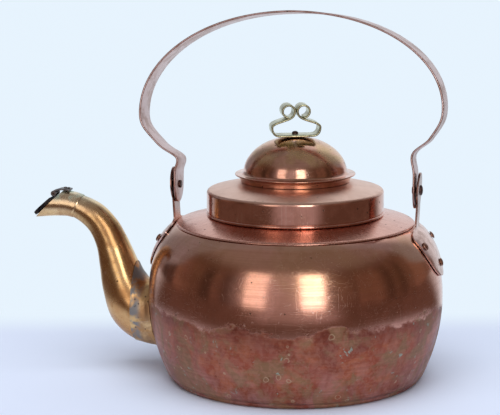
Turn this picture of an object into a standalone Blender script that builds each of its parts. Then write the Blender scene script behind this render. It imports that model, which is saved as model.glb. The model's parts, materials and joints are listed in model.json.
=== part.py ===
"""Copper stove kettle with a brass swan-neck spout, a strap bail handle, a lift-off domed lid
with a scrolled knob, and a small hinged flap over the mouth of the spout.

Frame: metres, +Z up. The origin is the centre of the flat base. The spout points to -X, the
handle's pivots lie on a line along X, and the front is -Y.
"""
import math

import bmesh
import bpy
import numpy as np
from mathutils import Matrix, Vector

MM = 0.001

# ---- sheets, wires and clearances -------------------------------------------------------------
GAP = 0.3 * MM  # between separate pieces that rest on each other
FACET_ROOM = 0.35 * MM  # a round wall's flat facets lie this much inside its true curve
BODY_SHEET = 1.2 * MM
PAN_SHEET = 1.5 * MM
LID_SHEET = 1.0 * MM
BRASS_SHEET = 1.0 * MM
EAR_SHEET = 1.8 * MM
STRAP_SHEET = 1.7 * MM
KNOB_SHEET = 1.6 * MM

# ---- body --------------------------------------------------------------------------------------
BASE_RADIUS = 103.0 * MM
BASE_CORNER = 3.5 * MM
PAN_DEPTH = 6.0 * MM
BELLY_RADIUS = 120.0 * MM
BELLY_HEIGHT = 68.0 * MM
BELLY_FULLNESS = 30.0 * MM  # how far the wall stays near upright above the belly
CREASE_RADIUS = 96.5 * MM
CREASE_HEIGHT = 127.0 * MM
CREASE_RUN = 15.0 * MM  # the wall's last stretch up to the crease, outward
CREASE_DROP = 9.0 * MM  # the same stretch, downward
SHOULDER_SLOPE = math.radians(13.5)
NECK_HEIGHT = 13.0 * MM
NECK_FLANGE = 4.0 * MM

# ---- lid ---------------------------------------------------------------------------------------
LID_RADIUS = 71.8 * MM
LID_CLEARANCE = 0.9 * MM  # skirt inside to neck outside
LID_TURN = math.radians(17.5)  # how the lid happens to be turned on the neck
SKIRT_HEIGHT = 19.8 * MM  # up to where the skirt's and the cone's lines would meet
SKIRT_CORNER = 3.0 * MM
SKIRT_BEAD = 1.1 * MM
BEAD_PROUD = 0.5 * MM
CONE_SLOPE = math.radians(13.5)
CONE_HOLE = 37.0 * MM
BAND_FOOT_RADIUS = 43.7 * MM
BAND_TOP_RADIUS = 48.8 * MM
BAND_HEIGHT = 6.0 * MM
BAND_LIP = 0.8 * MM  # thickness of the rolled edge at the band's top
DOME_RADIUS = 42.0 * MM
DOME_HEIGHT = 29.8 * MM
DOME_FLARE = 1.2 * MM

# ---- knob --------------------------------------------------------------------------------------
KNOB_WIDTH = 19.0 * MM
KNOB_HALF_SPAN = 20.2 * MM
KNOB_FOOT = 13.0 * MM
KNOB_CURL_RADIUS = 5.7 * MM
KNOB_CURL_HEIGHT = 20.6 * MM
KNOB_LOBE_HEIGHT = 7.8 * MM
KNOB_SHOULDER = 12.6 * MM  # where the strip leaves the lobe for the curl
KNOB_SHANK = 1.8 * MM
KNOB_HEAD = 2.7 * MM
KNOB_HEAD_HEIGHT = 1.9 * MM
KNOB_TAIL = 1.2 * MM

# ---- handle and its ears -------------------------------------------------------------------------
PIVOT_HEIGHT = 29.5 * MM  # above the crease
PIVOT_SHANK = 2.3 * MM
PIVOT_HEAD = 4.2 * MM
PIVOT_HEAD_HEIGHT = 1.8 * MM
PIVOT_TAIL = 1.4 * MM
EAR_DISC_RADIUS = 14.3 * MM
EAR_STEM_HALF = 10.0 * MM
EAR_PLATE_HALF = 31.5 * MM
EAR_PLATE_DEPTH = 39.0 * MM  # below the crease
EAR_SHOULDER_DROP = 7.0 * MM  # from the crease to the plate's widest place
EAR_PLATE_FULLNESS = 1.9
EAR_BEND_RADIUS = 5.0 * MM
EAR_LEAN = math.radians(3.0)  # the stems lean outward
EAR_TO_STRAP = 1.3 * MM  # at the pivot
RIVET_SHANK = 1.9 * MM
RIVET_HEAD = 3.3 * MM
RIVET_HEAD_HEIGHT = 1.7 * MM
RIVET_TAIL = 1.0 * MM
RIVET_SPREAD = 24.0 * MM
RIVET_UPPER_DROP = 12.5 * MM  # below the crease
RIVET_LOWER_DROP = 29.0 * MM
STRAP_HALF = 14.6 * MM
HANDLE_LEAN = math.radians(6.0)  # the bail stands a little back
ARCH_TOP = 141.0 * MM  # above the pivots
LEFT_SPAN, LEFT_WIDEST = 127.3 * MM, 58.5 * MM
RIGHT_SPAN, RIGHT_WIDEST = 119.5 * MM, 66.0 * MM
LEFT_PINCH, RIGHT_PINCH = 20.5 * MM, 27.0 * MM  # where the strap kinks out, above the pivots
STRAP_TWIST = math.radians(4.0)  # the hand-bent right half is a little twisted

# ---- spout ---------------------------------------------------------------------------------------
SPOUT_ROOT_HEIGHT = 47.0 * MM
SPOUT_STATIONS = (  # upper edge, then lower edge: out from the wall and up from the root's centre;
    # and the half width across. The first station is inside the wall.
    (-14.0 * MM, 25.4 * MM, -14.0 * MM, -26.0 * MM, 25.4 * MM),
    (3.0 * MM, 26.2 * MM, 3.0 * MM, -26.2 * MM, 25.6 * MM),
    (10.5 * MM, 33.5 * MM, 22.0 * MM, -20.0 * MM, 25.0 * MM),
    (16.1 * MM, 44.0 * MM, 37.5 * MM, -5.0 * MM, 21.8 * MM),
    (20.5 * MM, 54.5 * MM, 44.8 * MM, 18.5 * MM, 17.6 * MM),
    (25.5 * MM, 65.0 * MM, 47.3 * MM, 38.0 * MM, 14.6 * MM),
    (32.6 * MM, 77.0 * MM, 50.0 * MM, 55.5 * MM, 12.8 * MM),
    (45.0 * MM, 89.8 * MM, 57.0 * MM, 69.5 * MM, 11.5 * MM),
    (60.8 * MM, 97.3 * MM, 69.9 * MM, 79.1 * MM, 10.4 * MM),
    (78.0 * MM, 101.1 * MM, 83.0 * MM, 80.4 * MM, 10.3 * MM),
    (104.0 * MM, 100.0 * MM, 104.0 * MM, 78.8 * MM, 10.6 * MM),
)
NOZZLE_STATION = 8
COLLAR_REACH = 15.8 * MM  # level, out from the body wall
SPOUT_HOLE_WALL = 4.0 * MM  # how much smaller the hole in the wall is than the spout's root
NOZZLE_SHEET = 1.2 * MM
NOZZLE_SWELL = 0.6 * MM
MOUTH_REACH = 89.4 * MM  # centre of the mouth, out from the body wall
MOUTH_ANGLE = math.radians(43.0)  # of the slanting mouth, from level
FLAP_PROUD = 0.5 * MM  # beyond the mouth's outer edge
FLAP_SHEET = 1.0 * MM
FLAP_RIM = 1.6 * MM
FLAP_AJAR = math.radians(2.5)
PIN_RADIUS = 1.0 * MM
PIN_ALONG = 8.7 * MM  # up the slant from the mouth's centre
PIN_PROUD = 3.7 * MM  # out of the mouth's plane
KNUCKLE_RADIUS = 2.4 * MM
KNUCKLE_HALF = 5.5 * MM
BARREL_HALF = 2.4 * MM
BRACKET_LENGTH = 6.0 * MM  # behind the upper lip
BRACKET_SHEET = 1.4 * MM
BRACKET_RIVET_PLACES = (1.7 * MM, 4.5 * MM)  # behind the upper lip
BRACKET_RIVET_SHANK = 0.7 * MM
BRACKET_RIVET_HEAD = 1.3 * MM
BRACKET_RIVET_HEAD_HEIGHT = 0.8 * MM
BRACKET_RIVET_TAIL = 0.6 * MM

ROUND_STEPS = 48  # facets round the body and the lid
TUBE_STEPS = 22
RIVET_STEPS = 10


# ---- helpers -------------------------------------------------------------------------------------
def material(name, colour, roughness, metallic=1.0):
    """A plain Principled finish."""
    finish = bpy.data.materials.new(name)
    finish.use_nodes = True
    shader = finish.node_tree.nodes["Principled BSDF"]
    shader.inputs["Base Color"].default_value = (*colour, 1.0)
    shader.inputs["Roughness"].default_value = roughness
    shader.inputs["Metallic"].default_value = metallic
    finish.diffuse_color = (*colour, 1.0)
    return finish


def link(name, mesh, finish, parent=None):
    """One named object for one sub-part."""
    obj = bpy.data.objects.new(name, mesh)
    bpy.context.collection.objects.link(obj)
    mesh.materials.append(finish)
    obj.parent = parent
    return obj


def mesh_from(name, bm, smooth_angle=40.0):
    """Cleans a bmesh into a mesh with its faces outward and its round faces shaded smooth."""
    bmesh.ops.remove_doubles(bm, verts=bm.verts, dist=0.01 * MM)
    bmesh.ops.recalc_face_normals(bm, faces=bm.faces)
    if bm.calc_volume(signed=True) < 0:
        bmesh.ops.reverse_faces(bm, faces=bm.faces)
    mesh = bpy.data.meshes.new(name)
    bm.to_mesh(mesh)
    bm.free()
    mesh.shade_smooth()
    mesh.set_sharp_from_angle(angle=math.radians(smooth_angle))
    return mesh


def turned(name, outline, finish, steps=ROUND_STEPS, parent=None):
    """A turned piece: a closed outline of (radius, height) points spun about Z."""
    bm = bmesh.new()
    ring = [bm.verts.new((radius, 0.0, height)) for radius, height in outline]
    edges = [bm.edges.new((a, b)) for a, b in zip(ring, ring[1:] + ring[:1])
             if a.co.x > 0.0 or b.co.x > 0.0]
    bmesh.ops.spin(bm, geom=ring + edges, cent=(0, 0, 0), axis=(0, 0, 1),
                   angle=math.tau, steps=steps, use_merge=True)
    return link(name, mesh_from(name, bm), finish, parent)


def arc(centre, radius, start, end, count):
    """Points along a circular arc, angles in degrees from +r toward +z."""
    angles = np.radians(np.linspace(start, end, count))
    return [(centre[0] + radius * math.cos(a), centre[1] + radius * math.sin(a)) for a in angles]


def bezier(p0, p1, p2, p3, count):
    """Points along one cubic curve."""
    t = np.linspace(0.0, 1.0, count)[:, None]
    p0, p1, p2, p3 = (np.array(p, float) for p in (p0, p1, p2, p3))
    points = (1 - t) ** 3 * p0 + 3 * (1 - t) ** 2 * t * p1 + 3 * (1 - t) * t ** 2 * p2 + t ** 3 * p3
    return [tuple(point) for point in points]


def offset(path, distance):
    """A copy of an open path, moved to its left by a distance."""
    points = np.array(path, float)
    tangent = np.gradient(points, axis=0)
    tangent /= np.linalg.norm(tangent, axis=1)[:, None]
    normal = np.stack([-tangent[:, 1], tangent[:, 0]], axis=1)
    return [tuple(point) for point in points + normal * distance]


def sheet(outer, thickness):
    """A closed outline of a bent sheet: its outer line and, to the left of it, its inner one."""
    return outer + offset(outer, thickness)[::-1]


def spline(stations, places):
    """Points on a smooth curve through the stations (Catmull-Rom), at places counted in stations."""
    stations = np.array(stations, float)
    ends = np.vstack([2 * stations[0] - stations[1], stations, 2 * stations[-1] - stations[-2]])
    places = np.array(places, float)
    first = np.clip(places.astype(int), 0, len(stations) - 2)
    t = (places - first)[:, None]
    a, b, c, d = (ends[first + k] for k in range(4))
    return 0.5 * (2 * b + (c - a) * t + (2 * a - 5 * b + 4 * c - d) * t ** 2
                  + (3 * b - a - 3 * c + d) * t ** 3)


def closed_grid(name, inner, outer, finish, parent=None, wrap=False):
    """A sheet between two grids of points with the same layout: faces on both, rims between.

    With wrap, the grids' columns close on themselves, as round a tube.
    """
    bm = bmesh.new()
    rows, cols = inner.shape[:2]
    sides = [[[bm.verts.new(p) for p in row] for row in grid] for grid in (inner, outer)]
    last = cols if wrap else cols - 1

    def patch(a, b, c, d):
        corners = []
        for vert in (a, b, c, d):
            if all((vert.co - other.co).length > 0.01 * MM for other in corners):
                corners.append(vert)
        if len(corners) > 2:
            bm.faces.new(corners)

    for grid in sides:
        for i in range(rows - 1):
            for j in range(last):
                k = (j + 1) % cols
                patch(grid[i][j], grid[i][k], grid[i + 1][k], grid[i + 1][j])
    low, high = sides
    for j in range(last):
        k = (j + 1) % cols
        for i in (0, rows - 1):
            patch(low[i][j], low[i][k], high[i][k], high[i][j])
    if not wrap:
        for i in range(rows - 1):
            for j in (0, cols - 1):
                patch(low[i][j], low[i + 1][j], high[i + 1][j], high[i][j])
    return link(name, mesh_from(name, bm), finish, parent)


def strip(name, path, half_widths, thickness, finish, parent=None, cols=2, twist=None):
    """A flat strip of sheet bent along a path in XZ; its width lies along Y.

    The path is the strip's middle. twist turns a cross-section about the path's direction.
    """
    points = np.array(path, float)
    tangent = np.gradient(points, axis=0)
    tangent /= np.linalg.norm(tangent, axis=1)[:, None]
    normal = np.stack([-tangent[:, 1], np.zeros(len(points)), tangent[:, 0]], axis=1)
    middle = np.stack([points[:, 0], np.zeros(len(points)), points[:, 1]], axis=1)
    across = np.tile([0.0, 1.0, 0.0], (len(points), 1))
    if twist is not None:
        cos, sin = np.cos(twist)[:, None], np.sin(twist)[:, None]
        normal, across = normal * cos - across * sin, across * cos + normal * sin
    share = np.linspace(-1.0, 1.0, cols)
    sides = [middle[:, None] + side * thickness / 2 * normal[:, None]
             + across[:, None] * share[None, :, None] * np.array(half_widths)[:, None, None]
             for side in (-1.0, 1.0)]
    return closed_grid(name, sides[0], sides[1], finish, parent)


def cylinder(name, start, end, radius, steps=RIVET_STEPS):
    """A hidden cutter between two points."""
    start, end = Vector(start), Vector(end)
    bm = bmesh.new()
    turn = (end - start).to_track_quat("Z", "Y").to_matrix().to_4x4()
    bmesh.ops.create_cone(bm, cap_ends=True, segments=steps, radius1=radius, radius2=radius,
                          depth=(end - start).length,
                          matrix=Matrix.Translation((start + end) / 2) @ turn)
    mesh = bpy.data.meshes.new(name)
    bm.to_mesh(mesh)
    bm.free()
    return guide(bpy.data.objects.new(name, mesh))


def guide(obj):
    """Marks an object as a cutter, which isn't part of the kettle."""
    if obj.name not in bpy.context.collection.objects:
        bpy.context.collection.objects.link(obj)
    obj.hide_render = True
    obj.display_type = "WIRE"
    return obj


def cut(obj, cutter, operation="DIFFERENCE"):
    """One exact Boolean modifier."""
    modifier = obj.modifiers.new(cutter.name, "BOOLEAN")
    modifier.operation = operation
    modifier.solver = "EXACT"
    modifier.object = cutter


def rivet(name, inner, outer, shank, head, head_height, tail, finish, parent=None):
    """A rivet along the line from inner to outer: a domed head outside, a flat upset tail inside.

    inner and outer are where the stack of sheets begins and ends.
    """
    inner, outer = Vector(inner), Vector(outer)
    stack = (outer - inner).length
    tail_radius = (shank + head) / 2
    dome = [(head * math.cos(a), stack + GAP + head_height * math.sin(a))
            for a in np.radians(np.linspace(90, 0, 4))]
    outline = [(0.0, dome[0][1])] + dome[1:] + [
        (shank, stack + GAP), (shank, -GAP), (tail_radius, -GAP), (tail_radius * 0.9, -GAP - tail),
        (0.0, -GAP - tail)]
    obj = turned(name, outline, finish, RIVET_STEPS, parent)
    direction = (outer - inner).normalized()
    obj.matrix_world = Matrix.Translation(inner) @ direction.to_track_quat("Z", "Y").to_matrix().to_4x4()
    return obj


# ---- body of the kettle ---------------------------------------------------------------------------
def lower_radius(height):
    """The wall's outer radius below the belly, a parabola down to the base."""
    share = (BELLY_HEIGHT - height) / BELLY_HEIGHT
    return BELLY_RADIUS - (BELLY_RADIUS - BASE_RADIUS) * share ** 2


def wall_line(bottom, count_low=4, count_high=8):
    """The wall's outer line from a height up to the crease."""
    heights = np.linspace(bottom, BELLY_HEIGHT, count_low)
    low = [(lower_radius(z), z) for z in heights[:-1]]
    high = bezier((BELLY_RADIUS, BELLY_HEIGHT), (BELLY_RADIUS, BELLY_HEIGHT + BELLY_FULLNESS),
                  (CREASE_RADIUS + CREASE_RUN, CREASE_HEIGHT - CREASE_DROP),
                  (CREASE_RADIUS, CREASE_HEIGHT), count_high)
    return low + high


def wall_radius(height):
    """The wall's outer radius at a height."""
    line = np.array(wall_line(0.0, 40, 80))
    return float(np.interp(height, line[:, 1], line[:, 0]))


def shoulder_height(radius):
    """The top of the sloping shoulder at a radius."""
    return CREASE_HEIGHT + (CREASE_RADIUS - radius) * math.tan(SHOULDER_SLOPE)


def neck_radius():
    """The neck's outside, which the lid's skirt goes over."""
    return LID_RADIUS - LID_SHEET - LID_CLEARANCE


def build_body(copper, tinned):
    """Pan, wall, shoulder and neck."""
    corner = (BASE_RADIUS - BASE_CORNER, BASE_CORNER)
    floor = [(0.0, 0.0)] + arc(corner, BASE_CORNER, -90, 0, 4)
    top = (lower_radius(PAN_DEPTH), PAN_DEPTH)
    outer = floor + [top]
    inner = [(top[0] - PAN_SHEET, PAN_DEPTH), (BASE_RADIUS - PAN_SHEET, BASE_CORNER + GAP)]
    inner += arc(corner, BASE_CORNER - PAN_SHEET, 0, -90, 3)[1:] + [(0.0, PAN_SHEET)]
    turned("base_pan", outer + inner, copper)

    line = wall_line(PAN_DEPTH + GAP)
    wall = turned("body_wall", sheet(line, BODY_SHEET), copper)

    edge = (CREASE_RADIUS, CREASE_HEIGHT + GAP)
    inner_radius = neck_radius() + GAP
    run = CREASE_RADIUS - inner_radius
    thick = BODY_SHEET / math.cos(SHOULDER_SLOPE)
    steps = np.linspace(0.0, 1.0, 4)
    under = [(edge[0] - run * t, edge[1] + run * t * math.tan(SHOULDER_SLOPE)) for t in steps]
    over = [(r, z + thick) for r, z in under]
    over[0] = (edge[0] + 0.3 * MM, over[0][1] - 0.2 * MM)
    turned("shoulder_plate", under + over[::-1], copper)

    radius = neck_radius()
    root = shoulder_height(radius) + GAP
    fall = NECK_FLANGE * math.tan(SHOULDER_SLOPE)
    rim = root + NECK_HEIGHT
    neck = [(radius, rim), (radius, root - GAP), (radius + NECK_FLANGE, root - GAP - fall),
            (radius + NECK_FLANGE, root - GAP - fall - thick), (radius - BODY_SHEET, root - thick),
            (radius - BODY_SHEET, rim)]
    neck = [(r, z - GAP if z < root else z) for r, z in neck]
    turned("neck_collar", neck, tinned)
    return wall


# ---- lid ---------------------------------------------------------------------------------------------
def cone_height(radius, bottom):
    """The top of the lid's cone at a radius; bottom is the skirt's lower edge."""
    return bottom + SKIRT_HEIGHT + (LID_RADIUS - radius) * math.tan(CONE_SLOPE)


def lid_bottom():
    """The skirt's lower edge, resting on the shoulder."""
    inside = LID_RADIUS - LID_SHEET
    return shoulder_height(inside) + BODY_SHEET / math.cos(SHOULDER_SLOPE) + 2 * GAP


def dome_foot():
    """The lower edge of the band under the dome, resting on the cone."""
    return cone_height(BAND_FOOT_RADIUS, lid_bottom()) + 2 * GAP


def dome_top():
    """The top of the dome."""
    return dome_foot() + BAND_HEIGHT + DOME_HEIGHT


def build_lid(copper, parent):
    """The cap (cone and skirt) and the dome with its band."""
    bottom = lid_bottom()
    slope = math.degrees(CONE_SLOPE)
    bead = (LID_RADIUS + BEAD_PROUD - SKIRT_BEAD, bottom + SKIRT_BEAD)
    lean = SKIRT_CORNER * math.tan((math.pi / 2 - CONE_SLOPE) / 2)
    corner = (LID_RADIUS - SKIRT_CORNER, bottom + SKIRT_HEIGHT - lean)
    outer = [(CONE_HOLE, cone_height(CONE_HOLE, bottom))]
    outer += arc(corner, SKIRT_CORNER, 90 - slope, 0, 4)
    outer += arc(bead, SKIRT_BEAD, 70, -90, 5)
    inner_corner = SKIRT_CORNER - LID_SHEET
    inside = LID_RADIUS - LID_SHEET
    inner = [(inside, bottom)] + arc(corner, inner_corner, 0, 90 - slope, 3)
    drop = LID_SHEET / math.cos(CONE_SLOPE)
    inner.append((CONE_HOLE, cone_height(CONE_HOLE, bottom) - drop))
    turned("lid_cap", outer + inner, copper, parent=parent)

    foot = dome_foot()
    flange = foot + BAND_HEIGHT
    hole = KNOB_SHANK + GAP
    start = math.degrees(math.acos(hole / DOME_RADIUS))
    angles = np.radians(np.linspace(start, 4, 8))
    dome = [(DOME_RADIUS * math.cos(a), flange + DOME_HEIGHT * math.sin(a)) for a in angles]
    lip = flange - BAND_LIP
    rim = [(DOME_RADIUS + DOME_FLARE, flange + BAND_LIP / 2), (BAND_TOP_RADIUS - BAND_LIP, flange),
           (BAND_TOP_RADIUS, lip)]
    bulge = np.radians(np.linspace(0, 90, 4))[1:]
    width = BAND_TOP_RADIUS - BAND_FOOT_RADIUS
    band = [(BAND_FOOT_RADIUS + width * math.cos(a), lip - (lip - foot) * math.sin(a)) for a in bulge]
    outer = dome + rim + band
    inner = [(BAND_FOOT_RADIUS - LID_SHEET, foot)]
    inner += [(r - LID_SHEET, z + LID_SHEET / 5) for r, z in band[-2::-1]]
    inner += [(BAND_TOP_RADIUS - 2 * LID_SHEET, lip - LID_SHEET / 2),
              (DOME_RADIUS - LID_SHEET / 2, lip)]
    inner_dome = [((DOME_RADIUS - LID_SHEET) * math.cos(a),
                   flange + (DOME_HEIGHT - LID_SHEET) * math.sin(a)) for a in angles[::-1]]
    inner += inner_dome[:-1] + [(hole, inner_dome[-1][1])]
    turned("lid_dome", outer + inner, copper, parent=parent)


def knob_path():
    """Half of the knob's strip, from the middle of its foot round the lobe into the curl."""
    half = KNOB_SHEET / 2
    foot = [(0.0, half), (KNOB_FOOT / 2, half)]
    tip = KNOB_HALF_SPAN - half
    lobe = bezier((KNOB_FOOT, half), (tip - 2 * half, half), (tip, KNOB_LOBE_HEIGHT / 2),
                  (tip, KNOB_LOBE_HEIGHT), 6)
    radius = KNOB_CURL_RADIUS - half
    curl = arc((KNOB_CURL_RADIUS + GAP, KNOB_CURL_HEIGHT), radius, 205, -85, 19)
    climb = bezier((tip, KNOB_LOBE_HEIGHT), (tip, KNOB_SHOULDER), (radius / 2, KNOB_SHOULDER),
                   curl[0], 10)
    return foot + lobe + climb[1:] + curl[1:]


def build_knob(brass, iron, parent):
    """The scrolled strip and the rivet through its foot and the dome."""
    half = knob_path()
    path = [(-x, z) for x, z in half[:0:-1]] + half
    knob = strip("lid_knob", path, [KNOB_WIDTH / 2] * len(path), KNOB_SHEET, brass, parent)
    knob.location = (0.0, 0.0, dome_top() + GAP)
    knob.rotation_euler.z = LID_TURN
    seat = Vector((0.0, 0.0, dome_top() - LID_SHEET))
    crown = Vector((0.0, 0.0, dome_top() + GAP + KNOB_SHEET))
    cut(knob, cylinder("knob_hole", seat, crown + Vector((0, 0, 5 * MM)), KNOB_SHANK + GAP))
    rivet("knob_rivet", seat, crown, KNOB_SHANK, KNOB_HEAD, KNOB_HEAD_HEIGHT, KNOB_TAIL, iron, parent)


# ---- ears and handle ------------------------------------------------------------------------------
def pivot_z():
    """The height of the handle's pivots."""
    return CREASE_HEIGHT + PIVOT_HEIGHT


def ear_line():
    """The ear's inner line in the plane through its middle, from its lowest point to its top."""
    line = [(r + GAP, z) for r, z in wall_line(0.0, 40, 60)
            if CREASE_HEIGHT - EAR_PLATE_DEPTH <= z <= CREASE_HEIGHT - 3.5 * MM]
    outward = (math.sin(EAR_LEAN), math.cos(EAR_LEAN))
    last, before = np.array(line[-1]), np.array(line[-3])
    toward = (last - before) / np.linalg.norm(last - before)
    bend = bezier(tuple(last), tuple(last + toward * EAR_BEND_RADIUS * 0.6),
                  tuple(last + toward * EAR_BEND_RADIUS - np.array(outward) * EAR_BEND_RADIUS * 0.4),
                  tuple(last + toward * EAR_BEND_RADIUS + np.array(outward) * EAR_BEND_RADIUS), 6)
    foot = np.array(bend[-1])
    top = pivot_z() + EAR_DISC_RADIUS * math.cos(EAR_LEAN)
    length = (top - foot[1]) / outward[1]
    stem = [tuple(foot + np.array(outward) * length * t) for t in np.linspace(0, 1, 15)[1:]]
    return line[::4] + [line[-1]] + bend[1:] + stem


def ear_face_x(height):
    """The ear's inner face at a height on its stem."""
    line = np.array(ear_line())
    return float(np.interp(height, line[:, 1], line[:, 0]))


def ear_half_width(height):
    """Half of the ear's width at a height: plate, stem and round eye."""
    drop = CREASE_HEIGHT - height
    above = abs(height - pivot_z()) / math.cos(EAR_LEAN)
    if height >= pivot_z() and above >= EAR_DISC_RADIUS * 0.9995:
        return 0.0
    if above < EAR_DISC_RADIUS:
        eye = math.sqrt(EAR_DISC_RADIUS ** 2 - above ** 2)
        return eye if height > pivot_z() else max(eye, EAR_STEM_HALF)
    if drop <= -2.0 * MM:
        return EAR_STEM_HALF
    if drop < EAR_SHOULDER_DROP:
        share = (drop + 2.0 * MM) / (EAR_SHOULDER_DROP + 2.0 * MM)
        return EAR_STEM_HALF + (EAR_PLATE_HALF - EAR_STEM_HALF) * math.sin(share * math.pi / 2) ** 1.3
    share = (drop - EAR_SHOULDER_DROP) / (EAR_PLATE_DEPTH - EAR_SHOULDER_DROP)
    return EAR_PLATE_HALF * math.sqrt(max(0.0, 1.0 - share ** EAR_PLATE_FULLNESS))


def build_ear(name, side, finish, wall):
    """One ear: a shield that follows the wall, a stem bent up at the crease and a round eye."""
    line = ear_line()
    cols = np.linspace(-1.0, 1.0, 7)
    grids = []
    for path in (line, offset(line, -EAR_SHEET)):
        rows = []
        for (radius, _), (_, level), (r, z) in zip(line, line, path):
            half = ear_half_width(level)
            follow = min(1.0, max(0.0, (CREASE_HEIGHT + 4.0 * MM - level) / (7.0 * MM)))
            across = cols * half
            angle = across / radius
            x = r - follow * r * (1.0 - np.cos(angle))
            y = across + follow * (r * np.sin(angle) - across)
            rows.append(np.stack([side * x, y, np.full(len(cols), z)], axis=1))
        grids.append(np.array(rows))
    ear = closed_grid(name, grids[0], grids[1], finish)
    reach = 12.0 * MM
    eye = Vector((side * ear_face_x(pivot_z()), 0.0, pivot_z()))
    cut(ear, cylinder(name + "_eye", eye - Vector((reach, 0, 0)), eye + Vector((reach, 0, 0)),
                      PIVOT_SHANK + GAP, 20))
    spots = ((-1, RIVET_UPPER_DROP), (1, RIVET_UPPER_DROP), (0, RIVET_LOWER_DROP))
    for number, (across, drop) in enumerate(spots, start=1):
        height = CREASE_HEIGHT - drop
        radius = wall_radius(height)
        angle = across * RIVET_SPREAD / radius
        around = Vector((side * math.cos(angle), math.sin(angle), 0.0))
        rise = (wall_radius(height - 1 * MM) - wall_radius(height + 1 * MM)) / (2 * MM)
        outward = Vector((around.x, around.y, rise)).normalized()
        face = around * radius + Vector((0.0, 0.0, height))
        hole = cylinder("%s_hole_%d" % (name, number), face - outward * 6 * MM,
                        face + outward * 6 * MM, RIVET_SHANK + GAP)
        cut(ear, hole)
        cut(wall, hole)
        rivet("%s_rivet_%d" % (name, number), face - outward * (BODY_SHEET + FACET_ROOM),
              face + outward * (GAP + EAR_SHEET), RIVET_SHANK, RIVET_HEAD, RIVET_HEAD_HEIGHT,
              RIVET_TAIL, finish)
    return ear


def handle_line():
    """The middle of the strap in XZ, from the left eye's end over the arch to the right one."""
    foot = ear_face_x(pivot_z()) - EAR_TO_STRAP - STRAP_SHEET / 2

    def half(span, widest, pinch):
        """From the eye's lower end up to the top of the arch, on the +X side."""
        bottom = [(foot, z) for z in np.linspace(-STRAP_HALF, STRAP_HALF * 0.7, 10)]
        kink = bezier((foot, STRAP_HALF * 0.7), (foot, pinch * 0.72), (foot - 2.5 * MM, pinch * 0.8),
                      (foot - 2.0 * MM, pinch), 5)
        run = span - foot
        out = bezier((foot - 2.0 * MM, pinch), (foot - 1.3 * MM, pinch * 1.22),
                     (foot + run * 0.28, pinch * 1.3), (foot + run * 0.5, pinch + (widest - pinch) * 0.34),
                     7)
        round_ = bezier(out[-1], (span - run * 0.1, pinch + (widest - pinch) * 0.66),
                        (span, widest - (widest - pinch) * 0.26), (span, widest), 7)
        rise = ARCH_TOP - widest
        top = bezier((span, widest), (span, widest + rise * 0.52), (span * 0.6, ARCH_TOP),
                     (0.0, ARCH_TOP), 15)
        return bottom + kink[1:] + out[1:] + round_[1:] + top[1:]

    left = [(-x, z) for x, z in half(LEFT_SPAN, LEFT_WIDEST, LEFT_PINCH)]
    right = half(RIGHT_SPAN, RIGHT_WIDEST, RIGHT_PINCH)
    return left + right[-2::-1]


def build_handle(copper, iron):
    """The bail and its two pivot rivets."""
    axle = bpy.data.objects.new("handle_axle", None)
    bpy.context.collection.objects.link(axle)
    axle.location = (0.0, 0.0, pivot_z())
    axle.rotation_euler.x = -HANDLE_LEAN
    line = np.array(handle_line())
    steps = np.linalg.norm(np.diff(line, axis=0), axis=1)
    along = np.concatenate([[0.0], np.cumsum(steps)])
    from_end = np.minimum(along, along[-1] - along)
    inside = np.clip(STRAP_HALF - from_end, 0.0, STRAP_HALF)
    widths = np.sqrt(STRAP_HALF ** 2 - inside ** 2)
    right = np.clip(along / along[-1] * 2.0 - 1.0, 0.0, 1.0)
    twist = STRAP_TWIST * np.sin(np.clip(right * 1.35, 0.0, 1.0) * math.pi)
    handle = strip("handle_strap", line, widths, STRAP_SHEET, copper, axle, 2, twist)
    for side, word in ((-1, "left"), (1, "right")):
        inner = side * (ear_face_x(pivot_z()) - EAR_TO_STRAP - STRAP_SHEET)
        outer = side * (ear_face_x(pivot_z()) + EAR_SHEET)
        hole = cylinder("strap_eye_" + word, (inner - side * 4 * MM, 0, pivot_z()),
                        (outer + side * 4 * MM, 0, pivot_z()), PIVOT_SHANK + GAP, 20)
        cut(handle, hole)
        rivet("pivot_rivet_" + word, (inner, 0, pivot_z()), (outer, 0, pivot_z()), PIVOT_SHANK,
              PIVOT_HEAD, PIVOT_HEAD_HEIGHT, PIVOT_TAIL, iron)
    return axle


# ---- spout and flap --------------------------------------------------------------------------------
def wall_x():
    """The wall's outer face at the height of the spout's root, on the -X side."""
    return -wall_radius(SPOUT_ROOT_HEIGHT)


def spout_rings(places):
    """Rings of the spout at places counted in stations: upper x, z, lower x, z and half width."""
    rings = spline(SPOUT_STATIONS, places)
    rings[:, (0, 2)] = wall_x() - rings[:, (0, 2)]
    rings[:, (1, 3)] += SPOUT_ROOT_HEIGHT
    return rings


def tube(name, rings, thickness, finish, swell=0.0):
    """A piece of the spout: oval rings, each between its upper and its lower point."""
    zero = np.zeros(len(rings))
    upper = np.stack([rings[:, 0], zero, rings[:, 1]], axis=1)
    lower = np.stack([rings[:, 2], zero, rings[:, 3]], axis=1)
    centre, tall = (upper + lower) / 2, np.linalg.norm(upper - lower, axis=1) / 2
    up = (upper - lower) / (2 * tall[:, None])
    side = np.array([0.0, 1.0, 0.0])
    angles = np.linspace(0.0, math.tau, TUBE_STEPS, endpoint=False)

    def skin(grow):
        """The rings with both half axes grown."""
        vertical = (tall + grow)[:, None, None] * np.cos(angles)[None, :, None] * up[:, None]
        level = (rings[:, 4] + grow)[:, None, None] * np.sin(angles)[None, :, None] * side
        return centre[:, None] + vertical + level

    return closed_grid(name, skin(swell - thickness), skin(swell), finish, wrap=True)


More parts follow.
